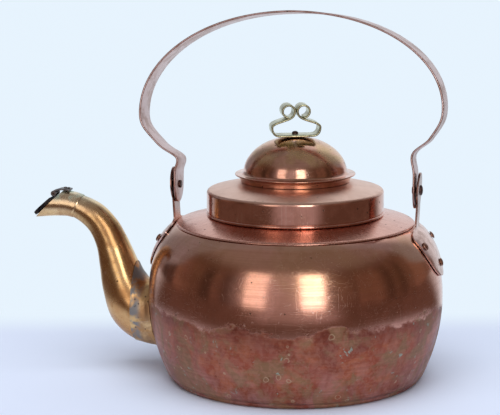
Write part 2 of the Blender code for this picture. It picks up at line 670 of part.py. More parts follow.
def body_cutter(name, grow):
    """A solid of the body's outer shape, grown a little, to trim what meets the wall."""
    line = [(r + grow, z) for r, z in wall_line(0.0, 9, 13)]
    outline = [(0.0, line[0][1])] + line + [(0.0, line[-1][1])]
    plain = bpy.data.materials.get("copper")
    return guide(turned(name, outline, plain))


def tip_height(reach):
    """The lower and upper edges of the spout's tip, at a reach out from the wall."""
    rings = spout_rings(np.linspace(NOZZLE_STATION - 1, len(SPOUT_STATIONS) - 1, 60))
    return tuple(float(np.interp(reach, wall_x() - rings[:, k], rings[:, k + 1])) for k in (2, 0))


def mouth_frame():
    """The mouth's centre and its plane: along (up the slant), and out (the way it faces)."""
    low, high = tip_height(MOUTH_REACH)
    centre = Vector((wall_x() - MOUTH_REACH, 0.0, (low + high) / 2))
    along = Vector((math.cos(MOUTH_ANGLE), 0.0, math.sin(MOUTH_ANGLE)))
    out = Vector((-math.sin(MOUTH_ANGLE), 0.0, math.cos(MOUTH_ANGLE)))
    return centre, along, out


def build_spout(brass, solder, wall):
    """Collar, swan neck and nozzle, and the hole in the wall behind them."""
    hole_radius = SPOUT_STATIONS[1][4] - SPOUT_HOLE_WALL
    middle = Vector((wall_x(), 0.0, SPOUT_ROOT_HEIGHT))
    reach = Vector((30.0 * MM, 0.0, 0.0))
    cut(wall, cylinder("spout_hole", middle + reach, middle - reach, hole_radius, 32))

    joint = Vector((wall_x() - COLLAR_REACH, 0.0, SPOUT_ROOT_HEIGHT))
    level, upright = Vector((-1.0, 0.0, 0.0)), Vector((0.0, 0.0, 1.0))
    half_gap = level * GAP / 2
    collar = tube("spout_collar", spout_rings(np.linspace(0.2, 3.8, 8)), BRASS_SHEET, solder)
    cut(collar, body_cutter("collar_trim", GAP))
    cut(collar, slab("collar_end", joint - half_gap, upright, level, 120 * MM, 80 * MM, 60 * MM))
    neck = tube("spout_tube", spout_rings(np.linspace(1.0, NOZZLE_STATION, 15)), BRASS_SHEET, brass)
    cut(neck, slab("neck_end", joint + half_gap, upright, -level, 120 * MM, 80 * MM, 60 * MM))

    last = len(SPOUT_STATIONS) - 1
    steps = spout_rings([NOZZLE_STATION, NOZZLE_STATION + 1.0])
    start = NOZZLE_STATION + 1.5 * GAP / abs(steps[1, 2] - steps[0, 2])
    nozzle = tube("spout_nozzle", spout_rings(np.linspace(start, last, 6)), NOZZLE_SHEET, brass,
                  NOZZLE_SWELL)
    centre, along, out = mouth_frame()
    cut(nozzle, slab("mouth_trim", centre, along, out, 60 * MM, 60 * MM, 40 * MM))
    return nozzle


def hinge_spot():
    """The flap's pin, over the mouth and a little below its upper lip."""
    centre, along, out = mouth_frame()
    return centre + along * PIN_ALONG + out * PIN_PROUD


def extruded(name, outline, low, high):
    """A hidden block with an outline in XY between two heights."""
    bm = bmesh.new()
    face = bm.faces.new([bm.verts.new((x, y, low)) for x, y in outline])
    lifted = bmesh.ops.extrude_face_region(bm, geom=[face])["geom"]
    verts = [item for item in lifted if isinstance(item, bmesh.types.BMVert)]
    bmesh.ops.translate(bm, verts=verts, vec=(0.0, 0.0, high - low))
    return guide(bpy.data.objects.new(name, mesh_from(name, bm)))


def mouth_oval(grow, limit):
    """The mouth's outline in (along, across) about its centre, cut off square at a limit."""
    low, high = tip_height(MOUTH_REACH)
    long_half = ((high - low) / 2 + NOZZLE_SWELL) / math.sin(MOUTH_ANGLE) + grow
    wide_half = SPOUT_STATIONS[-1][4] + NOZZLE_SWELL + grow
    turn = math.acos(max(-1.0, min(1.0, limit / long_half)))
    angles = np.linspace(turn, math.tau - turn, 29)
    return [(long_half * math.cos(a), wide_half * math.sin(a)) for a in angles]


def build_flap(iron, grey, dark, nozzle):
    """The bracket on the nozzle's top, its rivets and pin, and the shallow capping flap."""
    centre, along, out = mouth_frame()
    pin = hinge_spot()
    side = Vector((0.0, 1.0, 0.0))
    low, high = tip_height(MOUTH_REACH)
    lip = centre.x + (high - low) / 2 / math.tan(MOUTH_ANGLE)
    proud = NOZZLE_SWELL + GAP + BRACKET_SHEET / 2
    back = [(x, tip_height(wall_x() - x)[1] + proud)
            for x in (lip + BRACKET_LENGTH * t for t in (1.0, 0.5, 0.0))]
    over = pin + out * (KNUCKLE_RADIUS - BRACKET_SHEET / 2)
    crown = ((back[-1][0] + over.x) / 2, (back[-1][1] + over.z) / 2 + 0.5 * MM)
    bracket = strip("flap_bracket", back + [crown, (over.x, over.z)], [KNUCKLE_HALF] * 5,
                    BRACKET_SHEET, grey)
    for sign, word in ((-1, "front"), (1, "back")):
        cut(bracket, cylinder("lug_" + word, pin + side * sign * (BARREL_HALF + GAP),
                              pin + side * sign * KNUCKLE_HALF, KNUCKLE_RADIUS, 16), "UNION")
    room = side * (BARREL_HALF + GAP)
    cut(bracket, cylinder("barrel_room", pin - room, pin + room, KNUCKLE_RADIUS + 2 * GAP, 16))
    ends = side * (KNUCKLE_HALF + 5 * MM)
    cut(bracket, cylinder("lug_bore", pin - ends, pin + ends, PIN_RADIUS + GAP, 12))

    tail = Vector((0.0, 0.0, NOZZLE_SHEET - NOZZLE_SWELL))
    for number, behind in enumerate(BRACKET_RIVET_PLACES, start=1):
        skin = Vector((lip + behind, 0.0, tip_height(wall_x() - lip - behind)[1]))
        crown = skin + Vector((0.0, 0.0, NOZZLE_SWELL + GAP + BRACKET_SHEET))
        hole = cylinder("bracket_hole_%d" % number, skin - 4 * tail, crown + 4 * tail,
                        BRACKET_RIVET_SHANK + GAP)
        cut(bracket, hole)
        cut(nozzle, hole)
        rivet("bracket_rivet_%d" % number, skin - tail, crown, BRACKET_RIVET_SHANK,
              BRACKET_RIVET_HEAD, BRACKET_RIVET_HEAD_HEIGHT, BRACKET_RIVET_TAIL, grey)

    axle = bpy.data.objects.new("flap_axle", None)
    bpy.context.collection.objects.link(axle)
    axle.location = pin
    axle.rotation_euler.y = FLAP_AJAR - MOUTH_ANGLE
    limit = PIN_ALONG - KNUCKLE_RADIUS - 2 * GAP
    shift = Vector((-PIN_ALONG, 0.0, -PIN_PROUD))
    top = GAP + FLAP_RIM + FLAP_SHEET
    oval = [(x - PIN_ALONG, y) for x, y in mouth_oval(FLAP_PROUD, limit)]
    room = [(x - PIN_ALONG, y) for x, y in mouth_oval(FLAP_PROUD - FLAP_SHEET, limit - FLAP_SHEET)]
    flap = extruded("spout_flap", oval, GAP - PIN_PROUD, top - PIN_PROUD)
    flap.hide_render, flap.display_type, flap.parent = False, "TEXTURED", axle
    flap.data.materials.append(dark)
    tongue_half = BARREL_HALF - GAP
    tongue = [(limit - 3 * MM, -tongue_half), (PIN_ALONG, -tongue_half),
              (PIN_ALONG, tongue_half), (limit - 3 * MM, tongue_half)]
    tongue = extruded("flap_tongue", [(x + shift.x, y) for x, y in tongue],
                      top - FLAP_SHEET * 0.9 - PIN_PROUD, top - PIN_PROUD + 0.1 * MM)
    hollow = extruded("flap_hollow", room, -PIN_PROUD - MM, GAP + FLAP_RIM - PIN_PROUD)
    barrel = cylinder("flap_barrel", side * -BARREL_HALF, side * BARREL_HALF, KNUCKLE_RADIUS, 16)
    bore = cylinder("flap_bore", side * -8 * MM, side * 8 * MM, PIN_RADIUS + GAP, 12)
    for cutter, operation in ((hollow, "DIFFERENCE"), (tongue, "UNION"), (barrel, "UNION"),
                              (bore, "DIFFERENCE")):
        cutter.parent = axle
        cut(flap, cutter, operation)

    length = KNUCKLE_HALF + 0.4 * MM
    outline = [(0.0, length), (PIN_RADIUS * 0.8, length), (PIN_RADIUS, length - 0.2 * MM),
               (PIN_RADIUS, 0.2 * MM - length), (PIN_RADIUS * 0.8, -length), (0.0, -length)]
    rod = turned("flap_pin", outline, iron, 12)
    rod.location = pin
    rod.rotation_euler.x = math.pi / 2
    return axle


def slab(name, centre, along, out, length, width, height):
    """A hidden block that stands on a plane, to cut away what is beyond it."""
    bm = bmesh.new()
    side = out.cross(along)
    turn = Matrix((along, side, out)).transposed().to_4x4()
    place = Matrix.Translation(centre + out * height / 2) @ turn
    size = Matrix.Diagonal((length, width, height, 1.0))
    bmesh.ops.create_cube(bm, size=1.0, matrix=place @ size)
    mesh = bpy.data.meshes.new(name)
    bm.to_mesh(mesh)
    bm.free()
    return guide(bpy.data.objects.new(name, mesh))


def main():
    for obj in list(bpy.data.objects):
        bpy.data.objects.remove(obj)
    copper = material("copper", (0.72, 0.34, 0.24), 0.22)
    lid_copper = material("lid_copper", (0.70, 0.36, 0.27), 0.28)
    strap_copper = material("strap_copper", (0.60, 0.42, 0.40), 0.42)
    tinned = material("tinned_copper", (0.62, 0.60, 0.58), 0.40)
    brass = material("brass", (0.72, 0.50, 0.22), 0.25)
    knob_brass = material("knob_brass", (0.62, 0.58, 0.38), 0.30)
    solder = material("solder_brass", (0.50, 0.40, 0.30), 0.45)
    iron = material("dark_rivet", (0.20, 0.14, 0.12), 0.55)
    steel = material("grey_steel", (0.42, 0.40, 0.39), 0.45)
    blackened = material("blackened_iron", (0.05, 0.045, 0.05), 0.55)

    wall = build_body(copper, tinned)
    nozzle = build_spout(brass, solder, wall)
    build_ear("ear_left", -1, strap_copper, wall)
    build_ear("ear_right", 1, strap_copper, wall)
    build_handle(strap_copper, iron)
    build_flap(iron, steel, blackened, nozzle)
    lid = bpy.data.objects.new("lid_lift", None)
    bpy.context.collection.objects.link(lid)
    build_lid(lid_copper, lid)
    build_knob(knob_brass, iron, lid)


main()
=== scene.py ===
"""Looks for a copper stove kettle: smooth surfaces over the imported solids, worn metal finishes,
a pale floor and soft window light. Metres, +Z up, spout to -X, front to -Y."""
import json
import math

import bmesh
import bpy
import numpy as np
from bpy.props import FloatProperty, FloatVectorProperty, IntProperty, PointerProperty
from mathutils import Euler, Matrix, Vector


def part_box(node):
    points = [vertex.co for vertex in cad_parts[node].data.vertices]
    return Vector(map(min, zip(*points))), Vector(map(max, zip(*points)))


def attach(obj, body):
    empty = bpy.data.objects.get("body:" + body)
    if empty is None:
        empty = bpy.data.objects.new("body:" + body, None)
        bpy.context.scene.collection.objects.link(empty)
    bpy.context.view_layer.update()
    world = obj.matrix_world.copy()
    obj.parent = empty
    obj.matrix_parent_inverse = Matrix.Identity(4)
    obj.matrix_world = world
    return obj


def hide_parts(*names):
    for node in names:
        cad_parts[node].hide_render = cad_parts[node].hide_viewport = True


bl_info = {
    "name": "Copper stove kettle",
    "version": (1, 0, 0),
    "blender": (4, 5, 0),
    "location": "View3D > Sidebar > Kettle",
    "description": "Builds the smooth surfaces and worn finishes of a copper stove kettle",
    "category": "Add Mesh",
}

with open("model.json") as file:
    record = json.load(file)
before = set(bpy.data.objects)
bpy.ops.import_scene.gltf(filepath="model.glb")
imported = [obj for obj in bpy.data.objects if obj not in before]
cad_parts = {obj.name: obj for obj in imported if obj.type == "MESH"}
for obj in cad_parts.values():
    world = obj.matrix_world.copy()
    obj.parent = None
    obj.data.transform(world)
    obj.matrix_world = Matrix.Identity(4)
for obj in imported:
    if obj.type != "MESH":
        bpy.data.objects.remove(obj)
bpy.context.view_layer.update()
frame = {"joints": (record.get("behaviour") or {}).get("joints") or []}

MM = 0.001
GAP = 0.3 * MM
PAN_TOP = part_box("base_pan")[1]
WALL_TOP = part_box("body_wall")[1]
PIVOT = Vector(next(j["pos_m"] for j in frame["joints"] if j["name"] == "handle_swing"))
FLAP_PIN = Vector(next(j["pos_m"] for j in frame["joints"] if j["name"] == "flap_hinge"))
LID_LOW, LID_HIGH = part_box("lid_cap")
DOME_LOW, DOME_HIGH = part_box("lid_dome")

SAME_POINT = 0.004 * MM  # closer points are merged
SHARP_EDGE = math.radians(38.0)  # steeper edges are shaded sharp
EASE_STEPS = 20  # points over an eased stretch of a path
RIM_STEPS = 6  # facets round the half-round edge of a sheet
STRAP_RIM = 9  # points round each edge of a strap
HEAD_STEPS = 10  # points over a rivet's head
DRILL_FACETS = 36
BARREL_FACETS = 32
EYE_WASHER = 1.3 * MM  # between an ear and the strap's eye
EAR_RIVETS = ((-1, 12.5 * MM), (1, 12.5 * MM), (0, 29.0 * MM))  # side, and drop from the crease


# ---- sizes and colours that a user may change ---------------------------------------------------
def length(name, description, default):
    """A length property in metres."""
    return FloatProperty(name=name, description=description, default=default, min=0.0,
                         unit="LENGTH", precision=5)


def angle(name, description, degrees):
    """An angle property."""
    return FloatProperty(name=name, description=description, default=math.radians(degrees),
                         subtype="ANGLE")


def colour(name, description, default):
    """A linear colour property."""
    return FloatVectorProperty(name=name, description=description, default=default, size=3,
                               min=0.0, max=1.0, subtype="COLOR")


class KettleBodySizes(bpy.types.PropertyGroup):
    """Sizes of the pan, wall, shoulder and neck."""

    base_radius: length("Base radius", "Outside of the flat base", 103.0 * MM)
    base_corner: length("Base corner", "Rounding at the base's edge", 3.5 * MM)
    belly_radius: length("Belly radius", "The wall at its widest", WALL_TOP.x)
    belly_height: length("Belly height", "Height of the widest place", 68.0 * MM)
    belly_fullness: length("Belly fullness", "Upright stretch above the belly", 30.0 * MM)
    crease_radius: length("Crease radius", "Where wall and shoulder meet", 96.5 * MM)
    crease_run: length("Crease run", "Last stretch of the wall, outward", 15.0 * MM)
    crease_drop: length("Crease drop", "Last stretch of the wall, downward", 9.0 * MM)
    shoulder_slope: angle("Shoulder slope", "Rise of the shoulder toward the neck", 13.5)
    neck_radius: length("Neck radius", "Outside of the neck", 69.9 * MM)
    neck_height: length("Neck height", "Neck above the shoulder", 13.0 * MM)
    neck_flange: length("Neck flange", "Neck's foot under the shoulder's edge", 4.0 * MM)
    sheet: length("Body sheet", "Thickness of the body's copper", 1.2 * MM)
    pan_sheet: length("Pan sheet", "Thickness of the base pan", 1.5 * MM)
    steps: IntProperty(name="Steps round", description="Facets round a turned piece",
                       default=180, min=24, max=360)


class KettleLidSizes(bpy.types.PropertyGroup):
    """Sizes of the cap, dome and knob."""

    skirt_radius: length("Skirt radius", "Outside of the lid's skirt", 71.8 * MM)
    skirt_height: length("Skirt height", "Skirt up to where the cone would meet it", 19.8 * MM)
    skirt_corner: length("Skirt corner", "Rounding between skirt and cone", 3.0 * MM)
    skirt_bead: length("Skirt bead", "Radius of the rolled lower edge", 1.1 * MM)
    cone_slope: angle("Cone slope", "Rise of the cone toward the dome", 13.5)
    cone_hole: length("Cone hole", "Opening under the dome", 37.0 * MM)
    band_foot: length("Band foot", "Radius of the band's foot", 43.7 * MM)
    band_top: length("Band top", "Radius of the band's rolled top", 48.8 * MM)
    band_height: length("Band height", "Foot to top of the band", 6.0 * MM)
    dome_radius: length("Dome radius", "Dome where it meets the band", 42.0 * MM)
    dome_height: length("Dome height", "Height of the dome", 29.8 * MM)
    sheet: length("Lid sheet", "Thickness of the lid's copper", 1.0 * MM)
    turn: angle("Lid turn", "How the lid stands on the neck", 17.5)
    knob_width: length("Knob width", "Width of the knob's strip", 19.0 * MM)
    knob_span: length("Knob half span", "Middle to the outside of a lobe", 20.2 * MM)
    knob_foot: length("Knob foot", "Half of the flat foot", 13.0 * MM)
    knob_sheet: length("Knob sheet", "Thickness of the strip", 1.6 * MM)
    lobe_height: length("Lobe height", "Where a lobe is widest", 7.8 * MM)
    shoulder: length("Knob shoulder", "Where the strip leaves the lobe", 12.6 * MM)
    curl_radius: length("Curl radius", "Outside of a curl", 5.7 * MM)
    curl_height: length("Curl height", "Middle of a curl above the foot", 20.6 * MM)


class KettleHandleSizes(bpy.types.PropertyGroup):
    """Sizes of the strap, ears and rivets."""

    strap_half: length("Strap half width", "Half the width of the strap", 14.6 * MM)
    strap_sheet: length("Strap sheet", "Thickness of the strap", 1.7 * MM)
    arch_top: length("Arch top", "Top of the bow above the pivots", 141.0 * MM)
    left_span: length("Left span", "The bow's reach on the spout's side", 127.3 * MM)
    left_widest: length("Left widest", "Height of that reach", 58.5 * MM)
    left_pinch: length("Left pinch", "Height of the left kink", 20.5 * MM)
    right_span: length("Right span", "The bow's reach on the other side", 119.5 * MM)
    right_widest: length("Right widest", "Height of that reach", 66.0 * MM)
    right_pinch: length("Right pinch", "Height of the right kink", 27.0 * MM)
    twist: angle("Strap twist", "Twist of the hand-bent right half", 4.0)
    lean: angle("Handle lean", "How far the bow stands back", 6.0)
    ear_sheet: length("Ear sheet", "Thickness of an ear", 1.8 * MM)
    eye_radius: length("Eye radius", "Round top of an ear", 14.3 * MM)
    stem_half: length("Stem half width", "Half the width of an ear's stem", 10.0 * MM)
    plate_half: length("Plate half width", "Half the width of an ear's plate", 31.5 * MM)
    plate_depth: length("Plate depth", "Plate's point below the crease", 39.0 * MM)
    plate_shoulder: length("Plate shoulder", "Crease to the plate's widest place", 7.0 * MM)
    stem_lean: angle("Stem lean", "Outward lean of an ear's stem", 3.0)
    pivot_shank: length("Pivot shank", "Radius of a pivot rivet", 2.3 * MM)
    pivot_head: length("Pivot head", "Radius of its head", 4.2 * MM)
    rivet_shank: length("Rivet shank", "Radius of an ear rivet", 1.9 * MM)
    rivet_head: length("Rivet head", "Radius of its head", 3.3 * MM)
    rivet_spread: length("Rivet spread", "Upper rivets from the ear's middle", 24.0 * MM)


class KettleSpoutSizes(bpy.types.PropertyGroup):
    """Sizes of the spout and its flap."""

    root_height: length("Root height", "Middle of the spout's root", 47.0 * MM)
    collar_reach: length("Collar reach", "Collar's end, out from the wall", 15.8 * MM)
    hole_radius: length("Hole radius", "Hole in the wall behind the spout", 21.6 * MM)
    sheet: length("Spout sheet", "Thickness of the brass", 1.0 * MM)
    nozzle_swell: length("Nozzle swell", "How far the tip laps over the tube", 0.6 * MM)
    mouth_reach: length("Mouth reach", "Mouth's centre, out from the wall", 89.4 * MM)
    mouth_slant: angle("Mouth slant", "Slant of the mouth from level", 43.0)
    flap_ajar: angle("Flap ajar", "How far the flap stands open", 2.5)
    flap_sheet: length("Flap sheet", "Thickness of the flap", 1.0 * MM)
    flap_rim: length("Flap rim", "Depth of the flap's rim", 1.6 * MM)
    pin_radius: length("Pin radius", "Hinge pin", 1.0 * MM)
    knuckle_radius: length("Knuckle radius", "Outside of the hinge", 2.4 * MM)
    barrel_half: length("Barrel half", "Half the length of the flap's barrel", 2.4 * MM)
    knuckle_half: length("Knuckle half", "Half the length of the whole hinge", 5.5 * MM)
    steps: IntProperty(name="Steps round", description="Facets round the spout", default=72,
                       min=16, max=180)


class KettleColours(bpy.types.PropertyGroup):
    """Base colours of the finishes."""

    copper: colour("Copper", "Polished copper", (0.80, 0.42, 0.32))
    copper_low: colour("Fired copper", "Copper low on the body", (0.34, 0.075, 0.038))
    tarnish: colour("Olive tarnish", "Patches of greenish brown", (0.22, 0.14, 0.055))
    verdigris: colour("Verdigris", "Green corrosion", (0.25, 0.34, 0.27))
    lid_copper: colour("Lid copper", "Copper of the lid", (0.80, 0.44, 0.34))
    strap_copper: colour("Strap copper", "Dull copper of handle and ears", (0.70, 0.52, 0.50))
    strap_edge: colour("Strap edge", "Browned edge of the strap", (0.33, 0.15, 0.08))
    brass: colour("Brass", "Spout", (0.86, 0.58, 0.27))
    brass_brown: colour("Browned brass", "Stains on the spout", (0.46, 0.22, 0.08))
    knob_brass: colour("Knob brass", "Pale brass of the knob", (0.62, 0.60, 0.38))
    solder: colour("Solder", "Grey solder", (0.32, 0.31, 0.30))
    tin: colour("Tin", "Tinned neck", (0.60, 0.58, 0.55))
    rivet: colour("Rivet", "Dark rivets", (0.20, 0.12, 0.10))
    iron: colour("Blackened iron", "Spout flap", (0.035, 0.032, 0.036))
    cloth: colour("Floor", "Pale floor", (0.76, 0.83, 0.98))
    wall: colour("Surroundings", "Pale surroundings behind", (0.80, 0.90, 0.99))
    room: colour("Room", "Dim room in front", (0.13, 0.080, 0.062))


# ---- shapes as arrays ---------------------------------------------------------------------------
def arc(centre, radius, start, end, count):
    """Points on a circle: centre plus radius times cosine and sine, angles in degrees."""
    turn = np.radians(np.linspace(start, end, count))
    return np.stack([centre[0] + radius * np.cos(turn), centre[1] + radius * np.sin(turn)], axis=1)


def bezier(p0, p1, p2, p3, count):
    """A cubic curve: the four points weighted by the Bernstein cubics of t from 0 to 1."""
    t = np.linspace(0.0, 1.0, count)[:, None]
    p0, p1, p2, p3 = (np.array(p, float) for p in (p0, p1, p2, p3))
    return (1 - t) ** 3 * p0 + 3 * (1 - t) ** 2 * t * p1 + 3 * (1 - t) * t ** 2 * p2 + t ** 3 * p3


def joined(*runs):
    """Runs of points one after another, without their repeated joints."""
    points = np.vstack([np.atleast_2d(np.array(run, float)) for run in runs])
    step = np.linalg.norm(np.diff(points, axis=0), axis=1)
    return points[np.concatenate([[True], step > 1e-7])]


def distances(path):
    """How far along the path each of its points is."""
    step = np.linalg.norm(np.diff(path, axis=0), axis=1)
    return np.concatenate([[0.0], np.cumsum(step)])


def points_at(path, places):
    """The path's points at some distances along it."""
    along = distances(path)
    return np.stack([np.interp(places, along, column) for column in path.T], axis=1)


def resampled(path, spacing):
    """The same path with points an even distance apart along its length."""
    total = distances(path)[-1]
    count = max(2, int(round(total / spacing)) + 1)
    return points_at(path, np.linspace(0.0, total, count))


def eased(path, spacing, first, last):
    """The same path with even spacing, but closer and closer over its first and its last stretch:
    one minus cosine of an even angle, times the stretch."""
    total = distances(path)[-1]
    ease = 1.0 - np.cos(np.linspace(0.0, math.pi / 2, EASE_STEPS))
    middle = np.arange(first, total - last, spacing)[1:]
    return points_at(path, np.concatenate([first * ease, middle, total - last * ease[::-1]]))


def left_normal(path):
    """The unit normal to the left of each point of a path in a plane."""
    tangent = np.gradient(path, axis=0)
    tangent /= np.linalg.norm(tangent, axis=1)[:, None]
    return np.stack([-tangent[:, 1], tangent[:, 0]], axis=1)


def rounded_sheet(path, thickness):
    """A closed outline of a sheet: the path, a half circle round its end, the path moved left by
    the thickness and taken backwards, and a half circle round its start."""
    normal = left_normal(path)
    inner = path + normal * thickness
    turn = np.linspace(0.0, math.pi, RIM_STEPS + 1)[1:-1][:, None]

    def rim(start, end, outward):
        """Half a circle from start to end that bulges outward."""
        middle, half = (start + end) / 2, (start - end) / 2
        return middle + half * np.cos(turn) + outward * np.linalg.norm(half) * np.sin(turn)

    ahead = np.array([normal[-1][1], -normal[-1][0]])
    behind = -np.array([normal[0][1], -normal[0][0]])
    return np.vstack([path, rim(path[-1], inner[-1], ahead), inner[::-1],
                      rim(inner[0], path[0], behind)])


def quads(rows, cols, wrap_rows, wrap_cols):
    """Vertex numbers of the faces of a grid, which may close on itself either way."""
    i = np.arange(rows if wrap_rows else rows - 1)[:, None]
    j = np.arange(cols if wrap_cols else cols - 1)[None, :]
    next_i, next_j = (i + 1) % rows, (j + 1) % cols
    corners = (i * cols + j, i * cols + next_j, next_i * cols + next_j, next_i * cols + j)
    shape = (i.size, j.size)
    return np.stack([np.broadcast_to(corner, shape).ravel() for corner in corners], axis=1)


def piece(name, grids, finish, body, replaces=()):
    """One finished object from grids of points.

    Each grid is (points, wrap rows, wrap columns). Doubles are merged, so poles and seams close,
    and the faces are turned outward before the piece joins its body.
    """
    points, faces, start = [], [], 0
    for grid, wrap_rows, wrap_cols in grids:
        rows, cols = grid.shape[:2]
        points.append(grid.reshape(-1, 3))
        faces.append(quads(rows, cols, wrap_rows, wrap_cols) + start)
        start += rows * cols
    mesh = bpy.data.meshes.new(name)
    mesh.from_pydata(np.vstack(points), [], np.vstack(faces).tolist())
    bm = bmesh.new()
    bm.from_mesh(mesh)
    bmesh.ops.remove_doubles(bm, verts=bm.verts, dist=SAME_POINT)
    bmesh.ops.dissolve_degenerate(bm, edges=bm.edges, dist=SAME_POINT / 2)
    bmesh.ops.recalc_face_normals(bm, faces=bm.faces)
    bm.to_mesh(mesh)
    bm.free()
    mesh.shade_smooth()
    mesh.set_sharp_from_angle(angle=SHARP_EDGE)
    mesh.materials.append(finish)
    obj = bpy.data.objects.new(name, mesh)
    bpy.context.scene.collection.objects.link(obj)
    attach(obj, body)
    if replaces:
        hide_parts(*replaces)
    return obj


def spun(profile, steps):
    """A turned surface: radius and height of the profile, swept round Z."""
    turn = np.linspace(0.0, math.tau, steps, endpoint=False)
    radius, height = profile[:, 0][:, None], profile[:, 1][:, None]
    return np.stack([radius * np.cos(turn), radius * np.sin(turn),
                     np.broadcast_to(height, (len(profile), steps))], axis=-1)


def capped(rings):
    """Rings with a point at each end, so that the tube they make is closed."""
    ends = [np.broadcast_to(ring.mean(axis=0), ring.shape)[None] for ring in (rings[0], rings[-1])]
    return np.concatenate([ends[0], rings, ends[1]])


def strap(path, half_widths, thickness, twist=0.0):
    """A flat strap along a path in XZ, its width along Y: at each point a section with straight
    faces and half-round edges, turned about the path's direction by the twist."""
    normal = left_normal(path)
    normal = np.stack([normal[:, 0], np.zeros(len(path)), normal[:, 1]], axis=1)
    across = np.tile([0.0, 1.0, 0.0], (len(path), 1))
    cos = np.cos(np.broadcast_to(twist, len(path)))[:, None]
    sin = np.sin(np.broadcast_to(twist, len(path)))[:, None]
    normal, across = normal * cos - across * sin, across * cos + normal * sin
    half_widths = np.broadcast_to(half_widths, len(path)).astype(float)
    round_radius = np.minimum(thickness / 2, half_widths)
    flat = half_widths - round_radius
    turn = np.radians(np.concatenate([np.linspace(-90, 90, STRAP_RIM),
                                      np.linspace(90, 270, STRAP_RIM)]))
    side = np.repeat([1.0, -1.0], STRAP_RIM)
    wide = flat[:, None] * side + round_radius[:, None] * np.cos(turn)
    thick = round_radius[:, None] * np.sin(turn)
    middle = np.stack([path[:, 0], np.zeros(len(path)), path[:, 1]], axis=1)
    return middle[:, None] + wide[..., None] * across[:, None] + thick[..., None] * normal[:, None]


def placed(grid, matrix):
    """A grid of points moved by a matrix."""
    turn = np.array(matrix.to_3x3())
    return grid @ turn.T + np.array(matrix.translation)


def rivet(inner, outer, shank, head, head_height, tail, steps=28):
    """A rivet from inner to outer: a quarter-ellipse head, a shank and a flat hammered tail,
    swept round the line between them."""
    inner, outer = Vector(inner), Vector(outer)
    stack = (outer - inner).length
    turn = np.radians(np.linspace(90, 0, HEAD_STEPS))
    seat = stack + GAP
    brim = seat + 0.3 * MM
    dome = np.stack([head * np.cos(turn), brim + head_height * np.sin(turn)], axis=1)
    tail_radius = (shank + head) / 2
    profile = np.vstack([dome, [(head, seat), (shank, seat), (shank, -GAP),
                                (tail_radius, -GAP), (tail_radius, -GAP - tail * 0.6),
                                (tail_radius * 0.8, -GAP - tail), (0.0, -GAP - tail)]])
    spin = (outer - inner).to_track_quat("Z", "Y").to_matrix().to_4x4()
    return placed(spun(profile, steps), Matrix.Translation(inner) @ spin)


def bore(obj, start, end, radius):
    """Drills a round hole through a finished piece, once."""
    start, end = Vector(start), Vector(end)
    bm = bmesh.new()
    turn = (end - start).to_track_quat("Z", "Y").to_matrix().to_4x4()
    bmesh.ops.create_cone(bm, cap_ends=True, segments=DRILL_FACETS, radius1=radius, radius2=radius,
                          depth=(end - start).length,
                          matrix=Matrix.Translation((start + end) / 2) @ turn)
    mesh = bpy.data.meshes.new("drill")
    bm.to_mesh(mesh)
    bm.free()
    drill = bpy.data.objects.new("drill", mesh)
    bpy.context.scene.collection.objects.link(drill)
    cut = obj.modifiers.new("hole", "BOOLEAN")
    cut.solver = "EXACT"
    cut.object = drill
    whole = obj.evaluated_get(bpy.context.evaluated_depsgraph_get())
    drilled = bpy.data.meshes.new_from_object(whole)
    obj.modifiers.clear()
    obj.data = drilled
    bpy.data.objects.remove(drill)


# ---- outlines of the body -----------------------------------------------------------------------
def wall_line(sizes, bottom):
    """The wall's outer line: a parabola from the base out to the belly, and one cubic from the
    belly in to the crease."""
    heights = np.linspace(bottom, sizes.belly_height, 24)
    share = (sizes.belly_height - heights) / sizes.belly_height
    low = np.stack([sizes.belly_radius - (sizes.belly_radius - sizes.base_radius) * share ** 2,
                    heights], axis=1)
    top = WALL_TOP.z
    high = bezier((sizes.belly_radius, sizes.belly_height),
                  (sizes.belly_radius, sizes.belly_height + sizes.belly_fullness),
                  (sizes.crease_radius + sizes.crease_run, top - sizes.crease_drop),
                  (sizes.crease_radius, top), 44)
    return joined(low, high)


def wall_radius(sizes, height):
    """The wall's outer radius at a height."""
    line = wall_line(sizes, 0.0)
    return np.interp(height, line[:, 1], line[:, 0])


def shoulder_height(sizes, radius):
    """The sloping shoulder's height at a radius."""
    return WALL_TOP.z + (sizes.crease_radius - radius) * math.tan(sizes.shoulder_slope)


